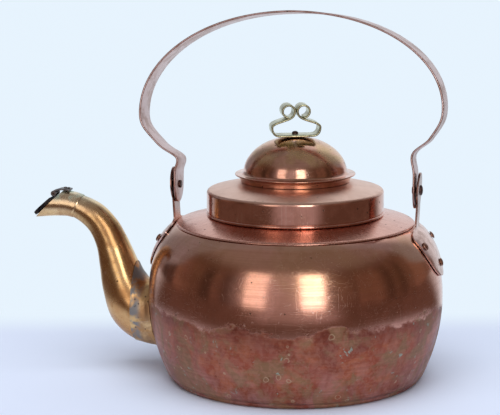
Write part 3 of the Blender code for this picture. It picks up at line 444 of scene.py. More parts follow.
class KETTLE_OT_body(bpy.types.Operator):
    """Base pan, raised wall, shoulder with its rolled crease, and the neck"""

    bl_idname = "kettle.body"
    bl_label = "Body"

    def execute(self, context):
        sizes = context.scene.kettle_body
        spout = context.scene.kettle_spout
        copper = body_copper(context)
        corner = (sizes.base_radius - sizes.base_corner, sizes.base_corner)
        foot = joined([(0.0, 0.0), (corner[0] * 0.5, 0.0)],
                      arc(corner, sizes.base_corner, -90, 0, 10))
        rise = wall_line(sizes, foot[-1][1])
        rise = rise[(rise[:, 1] > foot[-1][1]) & (rise[:, 1] < PAN_TOP.z)]
        outer = joined(foot, rise, (wall_radius(sizes, PAN_TOP.z), PAN_TOP.z))
        inner = outer + left_normal(outer) * sizes.pan_sheet
        inner[0] = (0.0, sizes.pan_sheet)
        pan = spun(np.vstack([outer, inner[::-1]]), sizes.steps)
        piece("pan", [(pan, False, True)], copper, "kettle_body", ["base_pan"])

        line = wall_line(sizes, PAN_TOP.z + GAP)
        wall = spun(rounded_sheet(line, sizes.sheet), sizes.steps)
        wall = piece("wall", [(wall, True, True)], copper, "kettle_body",
                     ["body_wall"])
        root = Vector((-wall_radius(sizes, spout.root_height), 0.0, spout.root_height))
        reach = Vector((30 * MM, 0.0, 0.0))
        bore(wall, root + reach, root - reach, spout.hole_radius)

        def top(radius):
            """The shoulder's upper face at a radius."""
            return shoulder_height(sizes, radius) + GAP + sizes.sheet

        lip = sizes.neck_radius + GAP
        edge = sizes.crease_radius - 2 * sizes.sheet
        crown = resampled(np.array([(lip, top(lip)), (edge, top(edge))]), 1.5 * MM)
        fold = bezier(crown[-1], (sizes.crease_radius - 0.6 * sizes.sheet, crown[-1][1] - 0.3 * MM),
                      (sizes.crease_radius + 0.35 * MM, WALL_TOP.z + GAP + 0.8 * MM),
                      (sizes.crease_radius + 0.3 * MM, WALL_TOP.z + GAP + 0.1 * MM), 8)
        over = joined(crown, fold)
        under = np.array([(sizes.crease_radius - 0.4 * MM, WALL_TOP.z + GAP),
                          (lip, top(lip) - sizes.sheet)])
        shoulder = spun(joined(over, resampled(under, 3 * MM)), sizes.steps)
        piece("shoulder", [(shoulder, True, True)], shoulder_copper(context), "kettle_body",
              ["shoulder_plate"])

        root_z = shoulder_height(sizes, sizes.neck_radius)
        fall = sizes.neck_flange * math.tan(sizes.shoulder_slope)
        flange = (sizes.neck_radius + sizes.neck_flange, root_z - fall - sizes.sheet / 2)
        neck_path = joined(flange, (sizes.neck_radius + 1.6 * MM, root_z - 0.4 * MM),
                           bezier((sizes.neck_radius + 1.2 * MM, root_z - 0.3 * MM),
                                  (sizes.neck_radius + 0.2 * MM, root_z),
                                  (sizes.neck_radius, root_z + 0.4 * MM),
                                  (sizes.neck_radius, root_z + 1.4 * MM), 6),
                           (sizes.neck_radius, root_z + sizes.neck_height))
        neck = spun(rounded_sheet(resampled(neck_path, 0.8 * MM), sizes.sheet), sizes.steps)
        piece("neck", [(neck, True, True)], tinned_copper(context), "kettle_body",
              ["neck_collar"])
        return {"FINISHED"}


# ---- lid and knob -------------------------------------------------------------------------------
class KETTLE_OT_lid(bpy.types.Operator):
    """The lid's cap with its skirt and bead, and the dome with its rolled band"""

    bl_idname = "kettle.lid"
    bl_label = "Lid"

    def execute(self, context):
        sizes = context.scene.kettle_lid
        copper = lid_copper(context)
        bottom = LID_LOW.z
        lean = sizes.skirt_corner * math.tan((math.pi / 2 - sizes.cone_slope) / 2)
        corner = (sizes.skirt_radius - sizes.skirt_corner, bottom + sizes.skirt_height - lean)
        hole = (sizes.cone_hole, bottom + sizes.skirt_height
                + (sizes.skirt_radius - sizes.cone_hole) * math.tan(sizes.cone_slope))
        bend = arc(corner, sizes.skirt_corner, 90 - math.degrees(sizes.cone_slope), 0, 12)
        bead = (sizes.skirt_radius + 0.5 * MM - sizes.skirt_bead, bottom + sizes.skirt_bead)
        roll = arc(bead, sizes.skirt_bead, 62, -90, 12)
        cone = resampled(np.array([hole, bend[0]]), 2 * MM)
        skirt_foot = (sizes.skirt_radius, roll[0][1] + 0.5 * MM)
        skirt = resampled(np.array([bend[-1], skirt_foot]), 1.5 * MM)
        outer = joined(cone, bend, skirt, roll)
        inside = sizes.skirt_radius - sizes.sheet
        inner_bend = arc(corner, sizes.skirt_corner - sizes.sheet, 0,
                         90 - math.degrees(sizes.cone_slope), 8)
        drop = sizes.sheet / math.cos(sizes.cone_slope)
        inner = joined((inside, bottom + GAP), inner_bend, (hole[0], hole[1] - drop))
        cap = spun(joined(outer, inner), context.scene.kettle_body.steps)
        piece("cap", [(cap, True, True)], copper, "lid", ["lid_cap"])

        flange = DOME_LOW.z + sizes.band_height
        turn = np.radians(np.linspace(90, 6, 40))
        dome = np.stack([sizes.dome_radius * np.cos(turn),
                         flange + sizes.dome_height * np.sin(turn)], axis=1)
        rolled = 0.55 * MM
        flare = bezier(dome[-1], (sizes.dome_radius + 0.1 * MM, flange + 0.9 * MM),
                       (sizes.dome_radius + 0.8 * MM, flange + 0.15 * MM),
                       (sizes.dome_radius + 2.4 * MM, flange - 0.1 * MM), 8)
        lip = arc((sizes.band_top - rolled, flange - rolled), rolled, 90, -60, 9)
        foot = DOME_LOW.z - 0.25 * MM
        band = bezier(lip[-1], (sizes.band_top - 3.2 * MM, flange - 1.7 * MM),
                      (sizes.band_foot + 0.9 * MM, foot + 3.0 * MM),
                      (sizes.band_foot + 0.5 * MM, foot), 16)
        outer = joined(dome, flare, lip, band)
        inner_radius = sizes.dome_radius - sizes.sheet
        inner_height = sizes.dome_height - sizes.sheet
        inner_dome = np.stack([inner_radius * np.cos(turn[::-1]),
                               flange + inner_height * np.sin(turn[::-1])], axis=1)
        low = bezier((sizes.band_foot - sizes.sheet, foot),
                     (sizes.band_foot - 0.6 * MM, foot + 2.4 * MM),
                     (inner_radius, flange - 2.2 * MM), inner_dome[0], 10)
        profile = joined(outer, low, inner_dome[:-1], (0.0, inner_dome[-1][1]))
        dome_grid = spun(profile, context.scene.kettle_body.steps)
        piece("dome", [(dome_grid, False, True)], dome_copper(context), "lid",
              ["lid_dome"])
        return {"FINISHED"}


def knob_line(sizes):
    """Half of the knob's strip: flat foot, a cubic out round the lobe, a cubic in over it, and a
    curl that is an arc turning in on itself."""
    half = sizes.knob_sheet / 2
    tip = sizes.knob_span - half
    foot = np.array([(0.0, half), (sizes.knob_foot, half)])
    lobe = bezier(foot[-1], (tip - 2 * half, half), (tip, sizes.lobe_height / 2),
                  (tip, sizes.lobe_height), 16)
    radius = sizes.curl_radius - half
    curl = arc((sizes.curl_radius + GAP, sizes.curl_height), radius, 205, -85, 48)
    climb = bezier(lobe[-1], (tip, sizes.shoulder), (radius / 2, sizes.shoulder), curl[0], 26)
    return joined(foot, lobe, climb, curl)


class KETTLE_OT_knob(bpy.types.Operator):
    """The scrolled strip and the rivet that holds it to the dome"""

    bl_idname = "kettle.knob"
    bl_label = "Knob"

    def execute(self, context):
        sizes = context.scene.kettle_lid
        half = resampled(knob_line(sizes), 0.5 * MM)
        path = joined(half[:0:-1] * (-1.0, 1.0), half)
        strip = capped(strap(path, sizes.knob_width / 2, sizes.knob_sheet))
        place = (Matrix.Translation((0.0, 0.0, DOME_HIGH.z + GAP))
                 @ Matrix.Rotation(sizes.turn, 4, "Z"))
        piece("knob", [(placed(strip, place), False, True)], pale_brass(context), "lid",
              ["lid_knob"])
        seat = (0.0, 0.0, DOME_HIGH.z - sizes.sheet)
        crown = (0.0, 0.0, DOME_HIGH.z + GAP + sizes.knob_sheet)
        grid = rivet(seat, crown, 1.8 * MM, 2.7 * MM, 1.9 * MM, 1.2 * MM)
        piece("knob_fastener", [(grid, False, True)], dark_rivet(context), "lid",
              ["knob_rivet"])
        return {"FINISHED"}


# ---- ears and handle ----------------------------------------------------------------------------
def ear_line(context):
    """The ear's inner line: the wall's line moved out by the gap, a cubic bend at the crease, and
    a straight stem that leans outward."""
    body, sizes = context.scene.kettle_body, context.scene.kettle_handle
    line = wall_line(body, 0.0) + (GAP, 0.0)
    top = WALL_TOP.z
    keep = (line[:, 1] >= top - sizes.plate_depth) & (line[:, 1] <= top - 3.5 * MM)
    low_end = (wall_radius(body, top - sizes.plate_depth) + GAP, top - sizes.plate_depth)
    line = joined(low_end, line[keep])
    outward = np.array([math.sin(sizes.stem_lean), math.cos(sizes.stem_lean)])
    toward = (line[-1] - line[-3]) / np.linalg.norm(line[-1] - line[-3])
    reach = 5.0 * MM
    bend = bezier(line[-1], line[-1] + toward * reach * 0.6,
                  line[-1] + toward * reach - outward * reach * 0.4,
                  line[-1] + (toward + outward) * reach, 14)
    eye_top = PIVOT.z + sizes.eye_radius * outward[1]
    stem = bend[-1] + outward * np.linspace(0.0, (eye_top - bend[-1][1]) / outward[1], 60)[:, None]
    return resampled(joined(line, bend), 1.0 * MM), stem


def ear_half_width(sizes, height):
    """Half the ear's width: a round eye, a straight stem, an S curve out to the plate's shoulder
    and a rounded point below."""
    drop = WALL_TOP.z - height
    above = np.abs(height - PIVOT.z) / math.cos(sizes.stem_lean)
    eye = np.sqrt(np.clip(sizes.eye_radius ** 2 - above ** 2, 0.0, None))
    top = np.where(height > PIVOT.z, eye, np.maximum(eye, sizes.stem_half))
    share = np.clip((drop + 2 * MM) / (sizes.plate_shoulder + 2 * MM), 0.0, 1.0)
    widening = np.sin(share * math.pi / 2) ** 1.3
    flare = sizes.stem_half + (sizes.plate_half - sizes.stem_half) * widening
    point_length = sizes.plate_depth - sizes.plate_shoulder
    below = np.clip((drop - sizes.plate_shoulder) / point_length, 0, 1)
    point = sizes.plate_half * np.sqrt(1.0 - below ** 1.9)
    return np.where(drop <= -2 * MM, top, np.where(drop < sizes.plate_shoulder, flare, point))


def ear_grid(context, side):
    """One ear as a closed skin: two faces a sheet apart that follow the wall's curve low down and
    lie flat on the stem, joined round their edge by a half-round rim."""
    sizes = context.scene.kettle_handle
    line = eased(joined(*ear_line(context)), 0.7 * MM, 16 * MM, sizes.eye_radius)
    normal = left_normal(line)
    half = ear_half_width(sizes, line[:, 1])
    follow = np.clip((WALL_TOP.z + 4 * MM - line[:, 1]) / (7 * MM), 0.0, 1.0)[:, None]
    face = 21
    flat = np.concatenate([np.linspace(-1, 1, face), np.linspace(1, -1, face)])
    sheet = sizes.ear_sheet
    edge = np.minimum(sheet / 2, half)[:, None]
    across = flat * (half[:, None] - edge * 0.6)
    depth = np.concatenate([np.zeros(face), np.ones(face)])
    soften = np.abs(flat) > 0.99
    depth = np.where(soften, np.where(depth > 0.5, 0.78, 0.22), depth)
    across = np.where(soften, flat * half[:, None], across)
    base = line[:, None] - normal[:, None] * (depth * sheet)[None, :, None]
    radius = line[:, 0][:, None]
    bend = across / radius
    x = base[..., 0] - follow * base[..., 0] * (1 - np.cos(bend))
    y = across + follow * (base[..., 0] * np.sin(bend) - across)
    return np.stack([side * x, y, base[..., 1]], axis=-1)


def ear_face(context):
    """The ear's inner face at the pivots' height, out from the middle."""
    stem = ear_line(context)[1]
    return float(np.interp(PIVOT.z, stem[:, 1], stem[:, 0]))


class KETTLE_OT_ears(bpy.types.Operator):
    """Two ears with their rivets, and the two rivets that the handle turns on"""

    bl_idname = "kettle.ears"
    bl_label = "Ears and rivets"

    def execute(self, context):
        body, sizes = context.scene.kettle_body, context.scene.kettle_handle
        copper, heads = ear_copper(context), ear_rivet(context)
        for side, word in ((-1, "left"), (1, "right")):
            grid = capped(ear_grid(context, side))
            piece("ear_plate_" + word, [(grid, False, True)], copper, "kettle_body",
                  ["ear_" + word])
            for number, (across, drop) in enumerate(EAR_RIVETS, start=1):
                height = WALL_TOP.z - drop
                radius = float(wall_radius(body, height))
                bend = across * sizes.rivet_spread / radius
                around = Vector((side * math.cos(bend), math.sin(bend), 0.0))
                fall = wall_radius(body, height - MM) - wall_radius(body, height + MM)
                rise = float(fall) / (2 * MM)
                outward = Vector((around.x, around.y, rise)).normalized()
                face = around * radius + Vector((0.0, 0.0, height))
                grid = rivet(face - outward * (body.sheet + 0.35 * MM),
                             face + outward * (GAP + sizes.ear_sheet), sizes.rivet_shank,
                             sizes.rivet_head, 1.5 * MM, 1.0 * MM)
                piece("ear_fastener_%s_%d" % (word, number), [(grid, False, True)], heads,
                      "kettle_body", ["ear_%s_rivet_%d" % (word, number)])
            eye = ear_face(context)
            inner = (side * (eye - EYE_WASHER - sizes.strap_sheet), 0.0, PIVOT.z)
            outer = (side * (eye + sizes.ear_sheet), 0.0, PIVOT.z)
            grid = rivet(inner, outer, sizes.pivot_shank, sizes.pivot_head, 1.6 * MM, 1.4 * MM)
            piece("pivot_" + word, [(grid, False, True)], dark_rivet(context), "kettle_body",
                  ["pivot_rivet_" + word])
        return {"FINISHED"}


def bow_line(context):
    """The strap's middle from eye to eye: straight ends, a kink outward, and cubics out to the
    widest place and over the top, with each side's own sizes."""
    sizes = context.scene.kettle_handle
    foot = ear_face(context) - EYE_WASHER - sizes.strap_sheet / 2
    half = sizes.strap_half

    def side(span, widest, pinch):
        """One half of the bow, from its lower end to the top."""
        ends = np.stack([np.full(40, foot), np.linspace(-half, half * 0.7, 40)], axis=1)
        kink = bezier(ends[-1], (foot, pinch * 0.72), (foot - 2.5 * MM, pinch * 0.8),
                      (foot - 2.0 * MM, pinch), 12)
        run = span - foot
        out = bezier(kink[-1], (foot - 1.3 * MM, pinch * 1.22), (foot + run * 0.28, pinch * 1.3),
                     (foot + run * 0.5, pinch + (widest - pinch) * 0.34), 24)
        swell = bezier(out[-1], (span - run * 0.1, pinch + (widest - pinch) * 0.66),
                       (span, widest - (widest - pinch) * 0.26), (span, widest), 24)
        rise = sizes.arch_top - widest
        crown = bezier((span, widest), (span, widest + rise * 0.52), (span * 0.6, sizes.arch_top),
                       (0.0, sizes.arch_top), 60)
        return joined(ends, kink, out, swell, crown)

    left = side(sizes.left_span, sizes.left_widest, sizes.left_pinch) * (-1.0, 1.0)
    right = side(sizes.right_span, sizes.right_widest, sizes.right_pinch)
    return joined(left, right[::-1])


class KETTLE_OT_handle(bpy.types.Operator):
    """The bow of bent strap, drilled for its two pivot rivets"""

    bl_idname = "kettle.handle"
    bl_label = "Handle"

    def execute(self, context):
        sizes = context.scene.kettle_handle
        path = eased(bow_line(context), 1.2 * MM, sizes.strap_half, sizes.strap_half)
        along = distances(path)
        from_end = np.minimum(along, along[-1] - along)
        inside = np.clip(sizes.strap_half - from_end, 0.0, sizes.strap_half)
        widths = np.sqrt(sizes.strap_half ** 2 - inside ** 2)
        right = np.clip(along / along[-1] * 2.0 - 1.0, 0.0, 1.0)
        twist = sizes.twist * np.sin(np.clip(right * 1.35, 0.0, 1.0) * math.pi)
        place = Matrix.Translation(PIVOT) @ Matrix.Rotation(-sizes.lean, 4, "X")
        grid = placed(strap(path, widths, sizes.strap_sheet, twist), place)
        bow = piece("bow", [(capped(grid), False, True)], strap_copper(context), "handle",
                    ["handle_strap"])
        eye = ear_face(context)
        for side in (-1, 1):
            middle = Vector((side * eye, 0.0, PIVOT.z))
            reach = Vector((8 * MM, 0.0, 0.0))
            bore(bow, middle - reach, middle + reach, sizes.pivot_shank + GAP)
        return {"FINISHED"}


# ---- spout and flap -----------------------------------------------------------------------------
# Stations along the spout, in millimetres: upper edge, then lower edge, each as reach from the wall
# and rise from the root's centre; and the half width across.
SPOUT_STATIONS = np.array((
    (-14.0, 25.4, -14.0, -26.0, 25.4),
    (3.0, 26.2, 3.0, -26.2, 25.6),
    (10.5, 33.5, 22.0, -20.0, 25.0),
    (16.1, 44.0, 37.5, -5.0, 21.8),
    (20.5, 54.5, 44.8, 18.5, 17.6),
    (25.5, 65.0, 47.3, 38.0, 14.6),
    (32.6, 77.0, 50.0, 55.5, 12.8),
    (45.0, 89.8, 57.0, 69.5, 11.5),
    (60.8, 97.3, 69.9, 79.1, 10.4),
    (78.0, 101.1, 83.0, 80.4, 10.3),
    (104.0, 100.0, 104.0, 78.8, 10.6),
)) * MM
NOZZLE_STATION = 8


def spout_wall_x(context):
    """Where the wall is, in X, at the height of the spout's root."""
    root = context.scene.kettle_spout.root_height
    return -wall_radius(context.scene.kettle_body, root)


def spout_values(places):
    """Edges and half width at places counted in stations: a Catmull-Rom cubic through them."""
    first_end = 2 * SPOUT_STATIONS[0] - SPOUT_STATIONS[1]
    last_end = 2 * SPOUT_STATIONS[-1] - SPOUT_STATIONS[-2]
    known = np.vstack([first_end, SPOUT_STATIONS, last_end])
    first = np.clip(places.astype(int), 0, len(SPOUT_STATIONS) - 2)
    t = (places - first)[..., None]
    a, b, c, d = (known[first + k] for k in range(4))
    return 0.5 * (2 * b + (c - a) * t + (2 * a - 5 * b + 4 * c - d) * t ** 2
                  + (3 * b - a - 3 * c + d) * t ** 3)


def spout_points(context, places, turn, grow):
    """Points of the spout: at each place an ellipse between the upper and the lower edge, its
    half axes grown by a little, at an angle from the top."""
    sizes = context.scene.kettle_spout
    wall_x = spout_wall_x(context)
    values = spout_values(places)
    upper = np.stack([wall_x - values[..., 0], values[..., 1] + sizes.root_height], axis=-1)
    lower = np.stack([wall_x - values[..., 2], values[..., 3] + sizes.root_height], axis=-1)
    tall = np.linalg.norm(upper - lower, axis=-1, keepdims=True) / 2
    up = (upper - lower) / (2 * tall)
    grow = np.broadcast_to(grow, places.shape)[..., None]
    middle = (upper + lower) / 2 + up * (tall + grow) * np.cos(turn)[..., None]
    y = (values[..., 4] + grow[..., 0]) * np.sin(turn)
    return np.stack([middle[..., 0], y, middle[..., 1]], axis=-1)


def crossing(places, distance):
    """For each column, the place where the distance first turns positive, between two rows."""
    first = np.argmax(distance > 0, axis=0).clip(1)
    cols = np.arange(distance.shape[1])
    low, high = distance[first - 1, cols], distance[first, cols]
    share = low / (low - high)
    return places[first - 1] + share * (places[first] - places[first - 1])


def tip_values():
    """Edges and half width at many places along the tip."""
    return spout_values(np.linspace(NOZZLE_STATION - 1, len(SPOUT_STATIONS) - 1, 60))


def mouth_plane(context):
    """The mouth's centre, the way up its slant, the way it faces, and half its height."""
    sizes = context.scene.kettle_spout
    wall_x = spout_wall_x(context)
    values = tip_values()
    low = np.interp(sizes.mouth_reach, values[:, 2], values[:, 3])
    high = np.interp(sizes.mouth_reach, values[:, 0], values[:, 1])
    centre = np.array([wall_x - sizes.mouth_reach, 0.0, (low + high) / 2 + sizes.root_height])
    cos, sin = math.cos(sizes.mouth_slant), math.sin(sizes.mouth_slant)
    return centre, np.array([cos, 0.0, sin]), np.array([-sin, 0.0, cos]), (high - low) / 2


def spout_skin(context, start, end, rows, grow, thickness, inner_end=None):
    """A closed skin of part of the spout: the outer rings, and the same rings a sheet further in,
    backwards. grow may change along the rows, and the inside may end at its own places."""
    steps = context.scene.kettle_spout.steps
    turn = np.linspace(0.0, math.tau, steps, endpoint=False)
    share = np.linspace(0.0, 1.0, rows)[:, None]
    skins = []
    for side_end, inset in ((end, 0.0), (end if inner_end is None else inner_end, thickness)):
        first, last = np.broadcast_to(start, steps), np.broadcast_to(side_end, steps)
        places = first + (last - first) * share
        turns = np.broadcast_to(turn, places.shape)
        spread = np.broadcast_to(grow, places.shape)
        spread = spread if inset == 0.0 else np.full(places.shape, spread.min() - inset)
        skins.append(spout_points(context, places, turns, spread))
    return np.concatenate([skins[0], skins[1][::-1]])


class KETTLE_OT_spout(bpy.types.Operator):
    """Soldered collar, swan neck and lapped tip of the spout"""

    bl_idname = "kettle.spout"
    bl_label = "Spout"

    def execute(self, context):
        body, sizes = context.scene.kettle_body, context.scene.kettle_spout
        wall_x = spout_wall_x(context)
        joint = wall_x - sizes.collar_reach
        steps = sizes.steps
        turn = np.linspace(0.0, math.tau, steps, endpoint=False)
        places = np.linspace(0.0, 5.0, 400)
        dense = np.broadcast_to(places[:, None], (len(places), steps))
        skin = spout_points(context, dense, np.broadcast_to(turn, dense.shape), 0.0)
        clear = np.hypot(skin[..., 0], skin[..., 1]) - wall_radius(body, skin[..., 2])
        clear = np.where(skin[..., 0] > wall_x * 0.5, -1.0, clear - 0.5 * MM)
        at_wall = crossing(places, clear)
        at_joint = crossing(places, joint - skin[..., 0])
        share = np.linspace(0.0, 1.0, 24)[:, None]
        ripple = 1.0 + 0.35 * np.sin(3.0 * turn + 0.6) * np.sin(5.0 * turn)
        solder_bead = 1.5 * MM * np.exp(-(share / 0.16) ** 2) * ripple
        joint_bead = 0.35 * MM * np.exp(-((1.0 - share) / 0.12) ** 2)
        grow = 0.25 * MM + solder_bead + joint_bead
        collar = spout_skin(context, at_wall, at_joint - 0.01, 24, grow, sizes.sheet + 0.25 * MM)
        piece("collar", [(collar, True, True)], soldered_brass(context), "kettle_body",
              ["spout_collar"])
        tube = spout_skin(context, at_joint + 0.01, float(NOZZLE_STATION), 96, 0.0, sizes.sheet)
        piece("swan_neck", [(tube, True, True)], spout_brass(context), "kettle_body",
              ["spout_tube"])

        centre, _, out, _ = mouth_plane(context)
        places = np.linspace(NOZZLE_STATION, len(SPOUT_STATIONS) - 1.01, 300)
        dense = np.broadcast_to(places[:, None], (len(places), steps))
        turns = np.broadcast_to(turn, dense.shape)
        mouth, inner_mouth = (
            crossing(places, (spout_points(context, dense, turns, grow) - centre) @ out)
            for grow in (sizes.nozzle_swell, sizes.nozzle_swell * 0.5 - sizes.sheet))
        share = np.linspace(0.0, 1.0, 40)[:, None]
        lap = sizes.nozzle_swell * (1.0 - 0.5 * np.exp(-(share / 0.03) ** 2))
        nozzle = spout_skin(context, NOZZLE_STATION + 0.006, mouth, 40, lap, sizes.sheet,
                            inner_mouth)
        piece("spout_tip", [(nozzle, True, True)], spout_brass(context), "kettle_body",
              ["spout_nozzle"])
        return {"FINISHED"}


def tube_about_y(centre, inner, outer, low, high):
    """A ring along Y: a rounded rectangle of wall between two radii, swept round the axis."""
    soft = (outer - inner) * 0.18
    profile = np.array([(inner, low), (outer - soft, low), (outer, low + soft),
                        (outer, high - soft), (outer - soft, high), (inner, high)])
    grid = spun(profile, BARREL_FACETS)
    return placed(grid, Matrix.Translation(centre) @ Matrix.Rotation(-math.pi / 2, 4, "X"))


def flap_outline(context, grow, limit, turn):
    """The flap's outline about the mouth's centre: an oval, cut off square near the hinge."""
    sizes = context.scene.kettle_spout
    half_tall = mouth_plane(context)[3]
    long_half = (half_tall + sizes.nozzle_swell) / math.sin(sizes.mouth_slant) + grow
    wide_half = SPOUT_STATIONS[-1][4] + sizes.nozzle_swell + grow
    return np.minimum(long_half * np.cos(turn), limit), wide_half * np.sin(turn)


class KETTLE_OT_flap(bpy.types.Operator):
    """The bracket with its two rivets, the pin, and the shallow flap over the mouth"""

    bl_idname = "kettle.flap"
    bl_label = "Spout flap"

    def execute(self, context):
        sizes = context.scene.kettle_spout
        centre, along, out, _ = mouth_plane(context)
        iron, steel = blackened_iron(context), grey_steel()
        pin_along = (np.array(FLAP_PIN) - centre) @ along
        pin_out = (np.array(FLAP_PIN) - centre) @ out
        limit = pin_along - sizes.knuckle_radius - 2 * GAP
        top = GAP + sizes.flap_rim + sizes.flap_sheet
        turn = np.linspace(0.0, math.tau, 96, endpoint=False)
        soft = 0.35 * MM
        rows = [(-12.0 * MM, top), (-6.0 * MM, top), (-1.5 * MM, top), (-soft, top - 0.02 * MM),
                (0.0, top - soft), (0.0, GAP + soft), (-0.1 * MM, GAP),
                (-sizes.flap_sheet + 0.1 * MM, GAP), (-sizes.flap_sheet, GAP + soft),
                (-sizes.flap_sheet, GAP + sizes.flap_rim - 0.2 * MM),
                (-sizes.flap_sheet - 0.3 * MM, GAP + sizes.flap_rim),
                (-6.0 * MM, GAP + sizes.flap_rim), (-12.0 * MM, GAP + sizes.flap_rim)]
        rings = []
        for inset, height in rows:
            u, v = flap_outline(context, 0.5 * MM + max(inset, -9.0 * MM), limit + inset, turn)
            rings.append(np.stack([u - pin_along, v, np.full(len(turn), height - pin_out)], axis=1))
        place = (Matrix.Translation(FLAP_PIN)
                 @ Matrix.Rotation(sizes.flap_ajar - sizes.mouth_slant, 4, "Y"))
        plate = placed(capped(np.array(rings)), place)
        barrel = tube_about_y(FLAP_PIN, sizes.pin_radius + GAP, sizes.knuckle_radius,
                              -sizes.barrel_half, sizes.barrel_half)
        tongue_path = np.array([(limit - pin_along - 2.0 * MM, top - pin_out - 0.45 * MM),
                                (-sizes.knuckle_radius, top - pin_out - 0.3 * MM),
                                (-sizes.knuckle_radius * 0.72, top - pin_out + 0.2 * MM)])
        tongue = strap(resampled(tongue_path, 0.4 * MM), sizes.barrel_half - GAP, 0.9 * MM)
        tongue = placed(capped(tongue), place)
        piece("flap", [(plate, False, True)], iron, "flap", ["spout_flap"])
        piece("flap_barrel", [(barrel, True, True)], iron, "flap")
        piece("flap_tongue", [(tongue, False, True)], iron, "flap")

        path = bracket_line(context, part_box("flap_bracket")[1].x)
        strip = capped(strap(path, sizes.knuckle_half, 1.4 * MM))
        lugs = [tube_about_y(FLAP_PIN, sizes.pin_radius + 0.05 * MM, sizes.knuckle_radius,
                             *sorted((side * (sizes.barrel_half + GAP), side * sizes.knuckle_half)))
                for side in (-1, 1)]
        bracket = piece("hinge_bracket", [(strip, False, True)], steel, "kettle_body",
                        ["flap_bracket"])
        side = Vector((0.0, sizes.barrel_half + GAP, 0.0))
        bore(bracket, FLAP_PIN - side, FLAP_PIN + side, sizes.knuckle_radius + 2 * GAP)
        piece("hinge_lugs", [(lug, True, True) for lug in lugs], steel, "kettle_body")
        for number in (1, 2):
            low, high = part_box("bracket_rivet_%d" % number)
            middle = (low + high) / 2
            seat = (middle.x, 0.0, low.z + 0.6 * MM + GAP)
            crown = (middle.x, 0.0, high.z - 0.8 * MM - GAP)
            grid = rivet(seat, crown, 0.7 * MM, 1.3 * MM, 0.6 * MM, 0.5 * MM, 20)
            piece("bracket_fastener_%d" % number, [(grid, False, True)], steel, "kettle_body",
                  ["bracket_rivet_%d" % number])
        reach = sizes.knuckle_half + 0.4 * MM
        pin = np.array([(0.0, -reach), (sizes.pin_radius * 0.7, -reach),
                        (sizes.pin_radius, -reach + 0.3 * MM), (sizes.pin_radius, reach - 0.3 * MM),
                        (sizes.pin_radius * 0.7, reach), (0.0, reach)])
        grid = placed(spun(pin, 24), Matrix.Translation(FLAP_PIN)
                      @ Matrix.Rotation(-math.pi / 2, 4, "X"))
        piece("hinge_pin", [(grid, False, True)], dark_rivet(context), "kettle_body",
              ["flap_pin"])
        return {"FINISHED"}


def bracket_line(context, back_end):
    """The bracket's middle: along the tip's upper edge, then a cubic up and over the pin."""
    sizes = context.scene.kettle_spout
    centre, _, out, half_tall = mouth_plane(context)
    wall_x = spout_wall_x(context)
    values = tip_values()
    lip = centre[0] + half_tall / math.tan(sizes.mouth_slant)
    x = np.linspace(back_end, lip, 12)
    proud = sizes.nozzle_swell + GAP + 0.7 * MM
    z = np.interp(wall_x - x, values[:, 0], values[:, 1]) + sizes.root_height + proud
    tail = np.stack([x, z], axis=1)
    over = np.array(FLAP_PIN) + out * (sizes.knuckle_radius - 0.7 * MM)
    over = np.array([over[0], over[2]])
    rise = (over + tail[-1]) / 2 + (0.0, 0.5 * MM)
    climb = bezier(tail[-1], tail[-1] + (-1.2 * MM, 0.1 * MM), rise, over, 10)
    return resampled(joined(tail, climb), 0.35 * MM)


